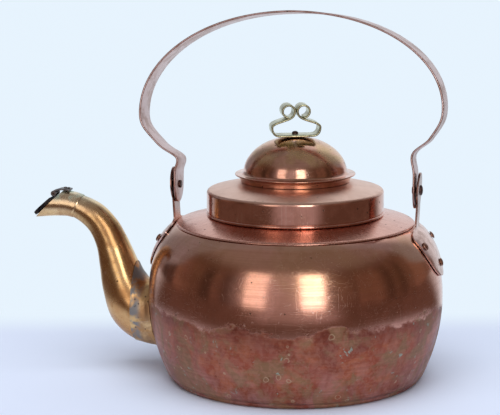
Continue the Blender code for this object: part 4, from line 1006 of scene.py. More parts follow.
# ---- node trees ---------------------------------------------------------------------------------
class Tree:
    """Short ways to add nodes to one node tree; a number, a colour or a socket feeds any input."""

    def __init__(self, tree):
        self.tree = tree

    def feed(self, socket, value):
        """Links a socket into an input, or sets the input's own value."""
        if isinstance(value, bpy.types.NodeSocket):
            self.tree.links.new(value, socket)
        elif value is not None:
            value = tuple(value) if hasattr(value, "__len__") else value
            if socket.type == "RGBA" and len(value) == 3:
                value = (*value, 1.0)
            socket.default_value = value

    def node(self, kind, values=(), **settings):
        """One node, with its settings and the values for its inputs by name or number."""
        node = self.tree.nodes.new(kind)
        for name, setting in settings.items():
            setattr(node, name, setting)
        for name, value in dict(values).items():
            self.feed(node.inputs[name], value)
        return node

    def math(self, operation, first, second=0.0, third=0.0, clamp=False):
        """One Math node's value."""
        node = self.node("ShaderNodeMath", {0: first, 1: second, 2: third}, operation=operation)
        node.use_clamp = clamp
        return node.outputs[0]

    def times(self, first, second):
        """Two values multiplied."""
        return self.math("MULTIPLY", first, second)

    def plus(self, value, amount, mask, clamp=False):
        """A value raised by an amount where the mask is full."""
        return self.math("MULTIPLY_ADD", mask, amount, value, clamp)

    def vector(self, operation, first, second=(0.0, 0.0, 0.0)):
        """One Vector Math node; its first output is a vector and its second a value."""
        return self.node("ShaderNodeVectorMath", {0: first, 1: second}, operation=operation).outputs

    def scaled(self, vector, scale):
        """A vector times a value."""
        node = self.node("ShaderNodeVectorMath", {0: vector, "Scale": scale}, operation="SCALE")
        return node.outputs[0]

    def place(self, scale=(1.0, 1.0, 1.0), turn=(0.0, 0.0, 0.0)):
        """Object coordinates, scaled and turned."""
        point = self.node("ShaderNodeTexCoord").outputs["Object"]
        values = {"Vector": point, "Scale": scale, "Rotation": turn}
        return self.node("ShaderNodeMapping", values).outputs[0]

    def axis(self, index, vector=None):
        """X, Y or Z of a vector, or of the object's coordinates."""
        point = vector or self.node("ShaderNodeTexCoord").outputs["Object"]
        return self.node("ShaderNodeSeparateXYZ", {0: point}).outputs[index]

    def noise(self, vector, scale, detail=3.0, roughness=0.5, distortion=0.0):
        """Noise as a value."""
        return self.node("ShaderNodeTexNoise", {
            "Vector": vector, "Scale": scale, "Detail": detail, "Roughness": roughness,
            "Distortion": distortion}).outputs[0]

    def cells(self, vector, scale):
        """Voronoi cells: the distance from the cell's middle, and two random values of the cell."""
        node = self.node("ShaderNodeTexVoronoi", {"Vector": vector, "Scale": scale})
        random = node.outputs["Color"]
        return node.outputs["Distance"], self.axis(0, random), self.axis(1, random)

    def span(self, value, low, high, to_low=0.0, to_high=1.0):
        """A value mapped smoothly from one range to another, held at its ends."""
        values = {"Value": value, "From Min": low, "From Max": high, "To Min": to_low,
                  "To Max": to_high}
        return self.node("ShaderNodeMapRange", values, interpolation_type="SMOOTHSTEP").outputs[0]

    def mix(self, share, first, second, blend="MIX"):
        """Two colours mixed."""
        node = self.node("ShaderNodeMix", data_type="RGBA", blend_type=blend)
        for number, value in ((0, share), (6, first), (7, second)):
            self.feed(node.inputs[number], value)
        return node.outputs[2]

    def tint(self, shade, mask, amount, toward):
        """A colour moved toward another, by an amount where the mask is full."""
        return self.mix(self.times(mask, amount), shade, toward)

    def group(self, name, build, **values):
        """A shared group placed in this tree, made by build if it isn't there yet, with values by
        socket name (spaces written as _)."""
        tree = bpy.data.node_groups.get(name) or build(name)
        node = self.node("ShaderNodeGroup", node_tree=tree)
        for socket, value in values.items():
            self.feed(node.inputs[socket.replace("_", " ")], value)
        return node.outputs


def group_tree(name, inputs, outputs):
    """A new group's tree: each input is a name, a kind and a default, each output a name and a
    kind."""
    kinds = {"value": "NodeSocketFloat", "colour": "NodeSocketColor", "vector": "NodeSocketVector"}
    tree = bpy.data.node_groups.new(name, "ShaderNodeTree")
    for socket, kind, default in inputs:
        made = tree.interface.new_socket(name=socket, in_out="INPUT", socket_type=kinds[kind])
        made.default_value = (*default, 1.0) if kind == "colour" else default
    for socket, kind in outputs:
        tree.interface.new_socket(name=socket, in_out="OUTPUT", socket_type=kinds[kind])
    graph = Tree(tree)
    graph.given = tree.nodes.new("NodeGroupInput").outputs
    graph.result = tree.nodes.new("NodeGroupOutput").inputs
    return graph


def turned_lines(name):
    """Fine lines round Z, as turning and polishing leave: noise that changes fast with height."""
    graph = group_tree(name, [("Fineness", "value", 1.0), ("Drift", "value", 1.0)],
                       [("Lines", "value")])
    drift = graph.given["Drift"]
    stretch = graph.node("ShaderNodeCombineXYZ", {0: drift, 1: drift, 2: graph.given["Fineness"]})
    point = graph.vector("MULTIPLY", graph.place((3.0, 3.0, 900.0)), stretch.outputs[0])[0]
    graph.feed(graph.result["Lines"], graph.span(graph.noise(point, 1.0, 4.0, 0.65), 0.3, 0.7))
    return graph.tree


def radial_lines(name):
    """Fine lines out from Z: noise on the unit direction from the axis, which changes fast round
    it and slowly along it."""
    graph = group_tree(name, [("Fineness", "value", 60.0)], [("Lines", "value")])
    point = graph.place((1.0, 1.0, 0.0))
    spread = graph.scaled(graph.vector("NORMALIZE", point)[0], graph.given["Fineness"])
    slow = graph.vector("MULTIPLY", point, (40.0, 40.0, 0.0))[0]
    lines = graph.noise(graph.vector("ADD", spread, slow)[0], 1.0, 4.0, 0.7)
    graph.feed(graph.result["Lines"], graph.span(lines, 0.32, 0.68))
    return graph.tree


def blotches(name):
    """Soft-edged stains: distorted noise cut off at a level that the cover sets."""
    graph = group_tree(name, [("Size", "value", 30.0), ("Cover", "value", 0.5),
                              ("Softness", "value", 0.1), ("Shift", "vector", (0.0, 0.0, 0.0))],
                       [("Mask", "value")])
    point = graph.vector("ADD", graph.place(), graph.given["Shift"])[0]
    noise = graph.noise(point, graph.given["Size"], 6.0, 0.62, 0.6)
    middle = graph.math("SUBTRACT", 0.72, graph.times(graph.given["Cover"], 0.44))
    low = graph.math("SUBTRACT", middle, graph.given["Softness"])
    high = graph.math("ADD", middle, graph.given["Softness"])
    graph.feed(graph.result["Mask"], graph.span(noise, low, high))
    return graph.tree


def pits(name):
    """Small dark pits: a spot at the middle of some Voronoi cells, with its size from the cell."""
    graph = group_tree(name, [("Size", "value", 260.0), ("Cover", "value", 0.4)],
                       [("Mask", "value")])
    distance, chance, size = graph.cells(graph.place(), graph.given["Size"])
    chosen = graph.math("LESS_THAN", chance, graph.given["Cover"])
    radius = graph.plus(0.05, 0.26, size)
    near = graph.math("SUBTRACT", 1.0, graph.math("DIVIDE", distance, radius), clamp=True)
    graph.feed(graph.result["Mask"], graph.times(graph.span(near, 0.0, 0.5), chosen))
    return graph.tree


# How each set of scratches is turned, and how its noise is stretched.
SCRATCH_WAYS = (((0.3, 0.5, 0.4), (5.0, 210.0, 210.0)), ((1.1, -0.6, 0.9), (230.0, 7.0, 230.0)),
                ((0.1, 0.2, 2.2), (200.0, 200.0, 6.0)))


def scratches(name):
    """Thin scratches several ways: turned noise stretched along one axis, and only its narrow
    middle level kept, broken up by a slow noise."""
    graph = group_tree(name, [("Cover", "value", 0.5)], [("Mask", "value")])
    limit = graph.math("SUBTRACT", 0.72, graph.times(graph.given["Cover"], 0.4))
    marks = 0.0
    for turn, stretch in SCRATCH_WAYS:
        level = graph.noise(graph.place(stretch, turn), 1.0, 1.0, 0.4)
        off_middle = graph.math("ABSOLUTE", graph.math("SUBTRACT", level, 0.5))
        line = graph.span(off_middle, 0.0, 0.008, 1.0, 0.0)
        breaks = graph.noise(graph.place((1, 1, 1), turn), 60.0, 2.0)
        kept = graph.times(line, graph.math("GREATER_THAN", breaks, limit))
        marks = graph.math("MAXIMUM", kept, marks)
    graph.feed(graph.result["Mask"], marks)
    return graph.tree


def ring_spots(name):
    """Pale rings and spots left by drops: a band of the distance from some cells' middles."""
    graph = group_tree(name, [("Size", "value", 60.0), ("Cover", "value", 0.3)],
                       [("Mask", "value")])
    warp = graph.node("ShaderNodeTexNoise", {"Vector": graph.place(), "Scale": 120.0}).outputs[1]
    bent = graph.vector("ADD", graph.place(), graph.scaled(warp, 0.004))[0]
    distance, chance, size = graph.cells(bent, graph.given["Size"])
    off = graph.math("ABSOLUTE", graph.math("SUBTRACT", distance, graph.plus(0.1, 0.2, size)))
    band = graph.span(off, 0.01, 0.06, 1.0, 0.0)
    chosen = graph.math("LESS_THAN", chance, graph.given["Cover"])
    graph.feed(graph.result["Mask"], graph.times(band, chosen))
    return graph.tree


def stains(graph, size, cover, softness, shift=(0.0, 0.0, 0.0)):
    """One layer of blotches."""
    return graph.group("Blotches", blotches, Size=size, Cover=cover, Softness=softness,
                       Shift=shift)["Mask"]


def drop_marks(graph, size, cover):
    """One layer of ring spots."""
    return graph.group("Ring spots", ring_spots, Size=size, Cover=cover)["Mask"]


def round_lines(graph, fineness=1.0, drift=1.0):
    """Lines round Z."""
    return graph.group("Turned lines", turned_lines, Fineness=fineness, Drift=drift)["Lines"]


def outward_lines(graph, fineness):
    """Lines out from Z."""
    return graph.group("Radial lines", radial_lines, Fineness=fineness)["Lines"]


def straight_lines(graph, stretch):
    """Lines along the axis whose stretch is smallest."""
    return graph.noise(graph.place(stretch), 1.0, 3.0, 0.6)


def worn_metal(name):
    """Base metal with browner stains, fine lines, pits and scratches, and the roughness and height
    that go with them."""
    graph = group_tree(name, [
        ("Base", "colour", (0.8, 0.4, 0.3)), ("Stain", "colour", (0.4, 0.2, 0.1)),
        ("Lines", "value", 0.5), ("Line Amount", "value", 0.3), ("Stain Size", "value", 35.0),
        ("Stain Cover", "value", 0.4), ("Stain Amount", "value", 0.5), ("Pit Size", "value", 260.0),
        ("Pit Cover", "value", 0.2), ("Scratch Cover", "value", 0.4), ("Roughness", "value", 0.2),
        ("Stain Roughness", "value", 0.2)],
        [("Color", "colour"), ("Roughness", "value"), ("Height", "value")])
    given = graph.given
    stain = stains(graph, given["Stain Size"], given["Stain Cover"], 0.1)
    fine = stains(graph, 180.0, 0.45, 0.16, (3.0, 1.0, 2.0))
    pit = graph.group("Pits", pits, Size=given["Pit Size"], Cover=given["Pit Cover"])["Mask"]
    scratch = graph.group("Scratches", scratches, Cover=given["Scratch Cover"])["Mask"]
    stained = graph.times(graph.plus(stain, 0.35, fine, clamp=True), given["Stain Amount"])
    shade = graph.mix(stained, given["Base"], given["Stain"])
    line = graph.times(given["Lines"], given["Line Amount"])
    shade = graph.mix(graph.times(line, 0.35), shade, given["Stain"], "MULTIPLY")
    shade = graph.tint(shade, pit, 0.8, PIT_COLOUR)
    shade = graph.tint(shade, scratch, 0.3, BARE_COLOUR)
    rough = graph.plus(given["Roughness"], given["Stain Roughness"], stained)
    height = 0.5
    for mask, rougher, higher in ((pit, 0.3, -1.0), (line, 0.12, 0.22), (scratch, 0.1, -0.25),
                                  (fine, 0.0, 0.12)):
        rough = graph.plus(rough, rougher, mask, clamp=True)
        height = graph.plus(height, higher, mask)
    graph.feed(graph.result["Color"], shade)
    graph.feed(graph.result["Roughness"], rough)
    graph.feed(graph.result["Height"], height)
    return graph.tree


# ---- finishes -----------------------------------------------------------------------------------
# Linear colours of marks on the metal, beside the ones that a user may change.
PIT_COLOUR = (0.05, 0.025, 0.015)
BARE_COLOUR = (0.9, 0.72, 0.62)
FIRE_ORANGE = (0.43, 0.125, 0.060)
FIRE_DARK = (0.17, 0.040, 0.030)
# Pink of the lower body: partly tarnish, partly a painted reflection of the pale floor.
PINK_TARNISH_AND_FLOOR_REFLECTION = (0.52, 0.26, 0.23)
DRIP_RED = (0.24, 0.060, 0.034)
GRAIN_PALE = (0.55, 0.26, 0.18)
LINE_BROWN = (0.16, 0.05, 0.035)
DROP_OCHRE = (0.50, 0.36, 0.20)
DROP_PALE = (0.8, 0.62, 0.45)
GILT = (0.62, 0.36, 0.17)
LID_SPOT = (0.50, 0.24, 0.16)
CONE_BLOOM = (0.92, 0.66, 0.52)
DOME_OLIVE = (0.80, 0.58, 0.27)
STRAP_LOW = (0.46, 0.25, 0.19)
EAR_COLOUR = (0.84, 0.57, 0.49)
# Brown of the ears' stems: painted shade.
STEM_PAINTED_SHADE = (0.30, 0.15, 0.11)
ROOT_BROWN = (0.56, 0.26, 0.10)
TIP_PALE = (0.92, 0.84, 0.66)

SMALL_RELIEF = {"bump": 0.15, "distance": 0.02 * MM}  # for pieces with narrow edges


def metal(name, build, bump=0.3, distance=0.05 * MM):
    """A metal finish that is made once; build gives its colour, roughness, height and, where it
    isn't metal all over, its metalness."""
    finish = bpy.data.materials.get(name)
    if finish:
        return finish
    finish = bpy.data.materials.new(name)
    finish.use_nodes = True
    graph = Tree(finish.node_tree)
    shader = finish.node_tree.nodes["Principled BSDF"]
    shade, rough, height, *metalness = build(graph)
    graph.feed(shader.inputs["Base Color"], shade)
    graph.feed(shader.inputs["Roughness"], rough)
    graph.feed(shader.inputs["Metallic"], metalness[0] if metalness else 1.0)
    relief = {"Height": height, "Strength": bump, "Distance": distance}
    graph.feed(shader.inputs["Normal"], graph.node("ShaderNodeBump", relief).outputs[0])
    return finish


def worn(graph, base, stain, lines, **values):
    """The worn-metal group's colour, roughness and height, with the kind of lines it shows."""
    coat = graph.group("Worn metal", worn_metal, Base=base, Stain=stain, Lines=lines, **values)
    return coat["Color"], coat["Roughness"], coat["Height"]


def body_copper(context):
    """Polished and a little gilt above the belly; below it, browned and reddened by the fire, with
    drips, olive patches, drop marks, a little green, and pink toward the foot that is partly pink
    tarnish and partly a painted reflection of the pale floor."""
    colours = context.scene.kettle_colours
    wide = context.scene.kettle_body.belly_height

    def build(graph):
        polished, rough, relief = worn(
            graph, colours.copper, (0.42, 0.19, 0.11), round_lines(graph), Line_Amount=0.5,
            Stain_Size=22.0, Stain_Cover=0.48, Stain_Amount=0.42, Pit_Size=230.0, Pit_Cover=0.10,
            Scratch_Cover=0.50, Roughness=0.12, Stain_Roughness=0.08)
        height = graph.axis(2)
        ragged = graph.noise(graph.place((1, 1, 1.6)), 26.0, 6.0, 0.68)
        edge = graph.plus(graph.math("SUBTRACT", height, 0.023), 0.046, ragged)
        fired = graph.span(edge, wide - 6 * MM, wide - 1 * MM, 1.0, 0.0)
        # Pink toward the foot: partly pink tarnish, partly a painted reflection of the pale floor.
        foot = graph.span(edge, 8 * MM, 38 * MM, 1.0, 0.25)
        mottle = stains(graph, 46.0, 0.46, 0.05, (1.7, 0.4, 0.9))
        dark = stains(graph, 30.0, 0.44, 0.10, (4.3, 6.2, 2.8))
        olive = stains(graph, 40.0, 0.40, 0.06, (5.1, 2.4, 7.9))
        pink_and_reflection = graph.times(stains(graph, 52.0, 0.46, 0.10, (9.3, 3.1, 1.2)), foot)
        grain = stains(graph, 260.0, 0.46, 0.10, (0.3, 5.5, 3.7))
        green = stains(graph, 130.0, 0.13, 0.03, (2.2, 8.8, 4.1))
        drops = drop_marks(graph, 120.0, 0.22)
        drips = graph.noise(graph.place((95.0, 95.0, 12.0)), 1.0, 4.0, 0.6, 0.4)
        drips = graph.span(drips, 0.46, 0.62)
        low = graph.mix(mottle, colours.copper_low, FIRE_ORANGE)
        for mask, amount, toward in (
                (dark, 0.65, FIRE_DARK), (pink_and_reflection, 0.70, PINK_TARNISH_AND_FLOOR_REFLECTION), (drips, 0.50, DRIP_RED),
                (olive, 0.72, colours.tarnish), (grain, 0.30, GRAIN_PALE),
                (round_lines(graph, 0.7, 6.0), 0.30, LINE_BROWN), (drops, 0.42, DROP_OCHRE),
                (green, 0.85, colours.verdigris)):
            low = graph.tint(low, mask, amount, toward)
        gilt = graph.times(stains(graph, 18.0, 0.50, 0.14, (7.7, 3.9, 5.6)),
                           graph.span(height, wide + 12 * MM, wide + 40 * MM))
        shade = graph.tint(polished, gilt, 0.40, GILT)
        shade = graph.tint(shade, fired, 0.96, low)
        shade = graph.tint(shade, drops, 0.12, DROP_PALE)
        rough = graph.plus(rough, graph.plus(0.17, 0.10, grain), fired)
        rough = graph.plus(rough, 0.15, graph.times(fired, olive), clamp=True)
        crusted = graph.times(graph.plus(mottle, 0.5, grain), fired)
        relief = graph.plus(relief, 0.4, crusted)
        crust = graph.times(fired, graph.math("MAXIMUM", green, graph.times(olive, 0.6)))
        return shade, rough, relief, graph.plus(1.0, -0.7, crust)

    return metal("Body copper", build, bump=0.35, distance=0.06 * MM)


def shoulder_copper(context):
    """Copper brushed outward from the neck."""
    colours = context.scene.kettle_colours
    return metal("Shoulder copper", lambda graph: worn(
        graph, colours.copper, (0.46, 0.22, 0.15), outward_lines(graph, 90.0), Line_Amount=0.8,
        Stain_Size=34.0, Stain_Cover=0.4, Stain_Amount=0.35, Pit_Size=260.0, Pit_Cover=0.25,
        Scratch_Cover=0.4, Roughness=0.2, Stain_Roughness=0.15))


def tinned_copper(context):
    """Dull tin over copper, rubbed through in places."""
    colours = context.scene.kettle_colours
    return metal("Tinned copper", lambda graph: worn(
        graph, colours.tin, colours.copper, round_lines(graph, 0.8), Line_Amount=0.6,
        Stain_Size=60.0, Stain_Cover=0.35, Stain_Amount=0.7, Pit_Size=300.0, Pit_Cover=0.2,
        Scratch_Cover=0.4, Roughness=0.36, Stain_Roughness=0.1))


def lid_marks(graph, lines, colours, stain, amount):
    """The lid's worn copper with faint drop spots: its colour, roughness and height."""
    shade, rough, height = worn(
        graph, colours.lid_copper, stain, lines, Line_Amount=0.45, Stain_Size=48.0,
        Stain_Cover=0.45, Stain_Amount=amount, Pit_Size=300.0, Pit_Cover=0.28,
        Scratch_Cover=0.45, Roughness=0.09, Stain_Roughness=0.12)
    return graph.tint(shade, drop_marks(graph, 110.0, 0.3), 0.3, LID_SPOT), rough, height


def lid_copper(context):
    """The cap's copper: a polished, pitted skirt and a duller, spotted cone."""
    colours = context.scene.kettle_colours
    edge = LID_LOW.z + context.scene.kettle_lid.skirt_height - MM

    def build(graph):
        shade, rough, height = lid_marks(graph, outward_lines(graph, 70.0), colours,
                                         (0.44, 0.20, 0.13), 0.4)
        cone = graph.span(graph.axis(2), edge - 1.5 * MM, edge + 1.5 * MM)
        return graph.tint(shade, cone, 0.6, CONE_BLOOM), graph.plus(rough, 0.24, cone), height

    return metal("Lid copper", build)


def dome_copper(context):
    """The dome's copper, with yellow-olive stains round its middle."""
    colours = context.scene.kettle_colours
    low, high = DOME_LOW.z, DOME_HIGH.z

    def build(graph):
        shade, rough, height = lid_marks(graph, round_lines(graph, 1.1), colours,
                                         (0.36, 0.20, 0.08), 0.5)
        middle = graph.times(graph.span(graph.axis(2), low + 12 * MM, low + 20 * MM),
                             graph.span(graph.axis(2), high - 8 * MM, high - 1 * MM, 1.0, 0.4))
        olive = graph.times(stains(graph, 34.0, 0.52, 0.12, (0.4, 0.2, 6.1)), middle)
        return graph.tint(shade, olive, 0.6, DOME_OLIVE), graph.plus(rough, 0.16, olive), height

    return metal("Dome copper", build)


def strap_copper(context):
    """Dull pinkish copper of the strap, browner in patches and toward its lower ends."""
    colours = context.scene.kettle_colours

    def build(graph):
        shade, rough, height = worn(
            graph, colours.strap_copper, colours.strap_edge,
            straight_lines(graph, (40.0, 900.0, 40.0)), Line_Amount=0.5, Stain_Size=60.0,
            Stain_Cover=0.40, Stain_Amount=0.5, Pit_Size=320.0, Pit_Cover=0.08,
            Scratch_Cover=0.5, Roughness=0.30, Stain_Roughness=0.1)
        low = graph.span(graph.axis(2), PIVOT.z - 10 * MM, PIVOT.z + 45 * MM, 1.0, 0.0)
        return graph.tint(shade, low, 0.35, STRAP_LOW), rough, height

    return metal("Strap copper", build, **SMALL_RELIEF)


def ear_copper(context):
    """The ears' copper: pinker and brighter than the strap's on the plate, and darkened
    brown on the stem by painted shade.
    """
    colours = context.scene.kettle_colours

    def build(graph):
        shade, rough, height = worn(
            graph, EAR_COLOUR, colours.strap_edge, straight_lines(graph, (300.0, 300.0, 40.0)),
            Line_Amount=0.5, Stain_Size=80.0, Stain_Cover=0.36, Stain_Amount=0.5, Pit_Size=320.0,
            Pit_Cover=0.12, Scratch_Cover=0.5, Roughness=0.20, Stain_Roughness=0.12)
        # Painted shade: both stems, above the crease, are darkened toward brown.
        stem = graph.span(graph.axis(2), WALL_TOP.z, WALL_TOP.z + 14 * MM)
        return graph.tint(shade, stem, 0.85, STEM_PAINTED_SHADE), rough, height

    return metal("Ear copper", build, **SMALL_RELIEF)


def spout_brass(context):
    """Golden brass, browned toward its root, and paler with a little green toward the tip."""
    colours = context.scene.kettle_colours

    def build(graph):
        shade, rough, height = worn(
            graph, colours.brass, colours.brass_brown, straight_lines(graph, (260.0, 900.0, 60.0)),
            Line_Amount=0.4, Stain_Size=42.0, Stain_Cover=0.42, Stain_Amount=0.7, Pit_Size=260.0,
            Pit_Cover=0.2, Scratch_Cover=0.35, Roughness=0.20, Stain_Roughness=0.12)
        up = graph.axis(2)
        uneven = graph.plus(0.5, 0.5, stains(graph, 30.0, 0.50, 0.14, (8.1, 5.2, 2.6)))
        root = graph.times(uneven, graph.span(up, 50 * MM, 85 * MM, 1.0, 0.1))
        green = graph.times(stains(graph, 90.0, 0.5, 0.10, (4.2, 1.8, 0.1)),
                            graph.span(up, 138 * MM, 147 * MM))
        shade = graph.tint(shade, root, 0.80, ROOT_BROWN)
        shade = graph.tint(shade, graph.span(up, 126 * MM, 150 * MM), 0.60, TIP_PALE)
        shade = graph.mix(green, shade, colours.verdigris)
        return shade, rough, height, graph.plus(1.0, -0.5, green)

    return metal("Spout brass", build)


def soldered_brass(context):
    """Brass with smears of grey solder."""
    colours = context.scene.kettle_colours
    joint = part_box("spout_collar")[0].x

    def build(graph):
        shade, rough, height = worn(
            graph, colours.brass, colours.brass_brown, straight_lines(graph, (300.0, 120.0, 120.0)),
            Line_Amount=0.4, Stain_Size=60.0, Stain_Cover=0.5, Stain_Amount=0.8, Pit_Size=260.0,
            Pit_Cover=0.5, Scratch_Cover=0.3, Roughness=0.28, Stain_Roughness=0.14)
        near = graph.span(graph.axis(0), joint + 5 * MM, joint + 10 * MM, 1.0, 0.15)
        smear = graph.times(stains(graph, 85.0, 0.60, 0.08, (6.6, 0.7, 3.3)), near)
        shade = graph.mix(smear, shade, colours.solder)
        return shade, graph.plus(rough, 0.2, smear), graph.plus(height, 0.8, smear)

    return metal("Soldered brass", build, bump=0.4, distance=0.1 * MM)


def small_metal(name, base, stain, roughness, cover=0.45, amount=0.6):
    """A small piece's metal: worn, with fine scattered lines."""
    return metal(name, lambda graph: worn(
        graph, base, stain, straight_lines(graph, (500.0, 500.0, 500.0)), Line_Amount=0.5,
        Stain_Size=120.0, Stain_Cover=cover, Stain_Amount=amount, Pit_Size=420.0, Pit_Cover=0.08,
        Scratch_Cover=0.4, Roughness=roughness, Stain_Roughness=0.15), **SMALL_RELIEF)


def pale_brass(context):
    """Pale, greenish brass of the knob."""
    base = context.scene.kettle_colours.knob_brass
    return small_metal("Knob brass", base, (0.26, 0.25, 0.14), 0.20)


def dark_rivet(context):
    """Dark rivets and pin."""
    base = context.scene.kettle_colours.rivet
    return small_metal("Dark rivet", base, (0.06, 0.04, 0.035), 0.42)


def ear_rivet(context):
    """Rivets of the ears' own copper, with brown rims."""
    stain = context.scene.kettle_colours.strap_edge
    return small_metal("Ear rivet", (0.42, 0.23, 0.17), stain, 0.38)


def grey_steel():
    """Grey bracket metal."""
    return small_metal("Grey steel", (0.30, 0.29, 0.30), (0.12, 0.09, 0.07), 0.40)


def blackened_iron(context):
    """Near-black flap."""
    base = context.scene.kettle_colours.iron
    return small_metal("Blackened iron", base, (0.10, 0.075, 0.06), 0.42, 0.35, 0.5)


# ---- floor, lights and camera -------------------------------------------------------------------
CAMERA_PLACE = Vector((0.2371, -1.3045, 0.3718))
CAMERA_TURN = (math.radians(80.07), 0.0, math.radians(11.89))
CAMERA_ROLL = math.radians(-0.36)
CAMERA_LENS = 119.2
# Each window: its direction round from the front in degrees, its power, and its tint.
WINDOWS = ((-20.5, 4.6, (1.0, 0.94, 0.86)), (23.5, 15.0, (0.98, 1.0, 1.0)))
WINDOW_HEIGHT = 17.0
WINDOW_SIZE = (0.80, 1.75)
WINDOW_DISTANCE = 2.6
FILL_SIZE = (2.6, 2.6)
FILL_POWER = 60.0
FILL_PLACE = (10.0, 74.0)
FILL_TINT = (0.90, 0.95, 1.0)
VIEW_TURN = CAMERA_TURN[2]
CLOTH_BACK = (0.13, 0.22)  # where the cloth fades out behind, along the camera's heading
ROOM_FRONT = (0.19, 0.31)  # where reflections stop seeing the cloth, toward the front
CLEARING_SHAPE = (0.74, 1.0, 0.0)  # that place reaches further sideways than forward
KETTLE_MIDDLE = Vector((0.0, 0.0, 0.1))
FLOOR_HALF = 4.0
BLACK = (0.0, 0.0, 0.0)
CLOTH_SHADE = (0.68, 0.75, 0.92)
LIT_FLOOR = (0.42, 0.36, 0.38)
ROOM_GLOW = (0.46, 0.40, 0.42)
ROOM_CEILING = (0.25, 0.225, 0.22)
WALL_BEHIND = (0.86, 0.93, 1.0)
WALL_ASIDE = (0.27, 0.28, 0.32)
WALL_CEILING = (0.25, 0.25, 0.26)


class KETTLE_OT_stage(bpy.types.Operator):
    """Camera, pale floor, soft window lights and pale surroundings"""

    bl_idname = "kettle.stage"
    bl_label = "Stage"

    def execute(self, context):
        colours = context.scene.kettle_colours
        lens = bpy.data.cameras.new("camera")
        lens.lens = CAMERA_LENS
        lens.sensor_width = 36.0
        camera = bpy.data.objects.new("camera", lens)
        turn = Euler(CAMERA_TURN).to_matrix() @ Matrix.Rotation(CAMERA_ROLL, 3, "Z")
        camera.matrix_world = Matrix.Translation(CAMERA_PLACE) @ turn.to_4x4()
        context.scene.collection.objects.link(camera)
        context.scene.camera = camera
        context.scene.view_settings.view_transform = "Standard"
        floor(context)
        for azimuth, power, tint in WINDOWS:
            window(context, azimuth, WINDOW_HEIGHT, WINDOW_SIZE, power, tint)
        fill = window(context, *FILL_PLACE, FILL_SIZE, FILL_POWER, FILL_TINT)
        fill.visible_glossy = False
        surroundings(context, colours)
        return {"FINISHED"}


def radiance(graph, kind, shade):
    """An emission or background node's shader, at full strength."""
    return graph.node(kind, {"Color": shade, "Strength": 1.0}).outputs[0]


def show(graph, output, share, first, second):
    """Feeds a mix of two shaders to an output node."""
    mixed = graph.node("ShaderNodeMixShader", {0: share, 1: first, 2: second})
    graph.feed(output.inputs["Surface"], mixed.outputs[0])


def floor(context):
    """A wide flat floor. Its cloth colour fades into the surroundings' colour behind the kettle;
    and toward the front, reflections see the dim room instead of it."""
    colours = context.scene.kettle_colours
    mesh = bpy.data.meshes.new("floor")
    corners = ((-1, -1), (1, -1), (1, 1), (-1, 1))
    mesh.from_pydata([(x * FLOOR_HALF, y * FLOOR_HALF, 0.0) for x, y in corners], [],
                     [(0, 1, 2, 3)])
    finish = bpy.data.materials.new("Pale floor")
    finish.use_nodes = True
    graph = Tree(finish.node_tree)
    soft = graph.noise(graph.place((4.0, 9.0, 1.0)), 1.0, 3.0, 0.5)
    shade = graph.tint(colours.cloth, soft, 0.25, CLOTH_SHADE)
    turned = graph.place(turn=(0.0, 0.0, -VIEW_TURN))
    behind = graph.span(graph.axis(1, turned), *CLOTH_BACK)
    shader = finish.node_tree.nodes["Principled BSDF"]
    graph.feed(shader.inputs["Base Color"], graph.mix(behind, shade, BLACK))
    graph.feed(shader.inputs["Emission Color"], graph.mix(behind, BLACK, colours.wall))
    shader.inputs["Emission Strength"].default_value = 1.0
    shader.inputs["Roughness"].default_value = 0.9
    shader.inputs["Specular IOR Level"].default_value = 0.0
    away = graph.vector("LENGTH", graph.place(CLEARING_SHAPE))[1]
    flat = graph.place((1.0, 1.0, 0.0), (0.0, 0.0, -VIEW_TURN))
    course = graph.axis(1, graph.vector("NORMALIZE", flat)[0])
    front = graph.span(course, 0.46, 0.78, 1.0, 0.0)
    lit = graph.times(graph.span(away, 0.42, 0.62), graph.span(course, -0.97, -0.80, 1.0, 0.0))
    seen = graph.node("ShaderNodeLightPath").outputs["Is Glossy Ray"]
    share = graph.times(graph.times(graph.span(away, *ROOM_FRONT), front), seen)
    dim = radiance(graph, "ShaderNodeEmission", graph.mix(lit, colours.room, LIT_FLOOR))
    show(graph, finish.node_tree.nodes["Material Output"], share, shader.outputs[0], dim)
    mesh.materials.append(finish)
    obj = bpy.data.objects.new("floor", mesh)
    context.scene.collection.objects.link(obj)


def window(context, azimuth, elevation, size, power, tint):
    """A soft rectangular light that faces the kettle from a direction, in degrees round from the
    front and up from level."""
    light = bpy.data.lights.new("window", "AREA")
    light.shape = "RECTANGLE"
    light.size, light.size_y = size
    light.energy = power
    light.color = tint
    lamp = bpy.data.objects.new("window", light)
    azimuth, elevation = math.radians(azimuth), math.radians(elevation)
    level = math.cos(elevation)
    toward = Vector((math.sin(azimuth) * level, -math.cos(azimuth) * level, math.sin(elevation)))
    facing = toward.to_track_quat("Z", "Y").to_matrix().to_4x4()
    lamp.matrix_world = Matrix.Translation(KETTLE_MIDDLE + toward * WINDOW_DISTANCE) @ facing
    context.scene.collection.objects.link(lamp)
    return lamp


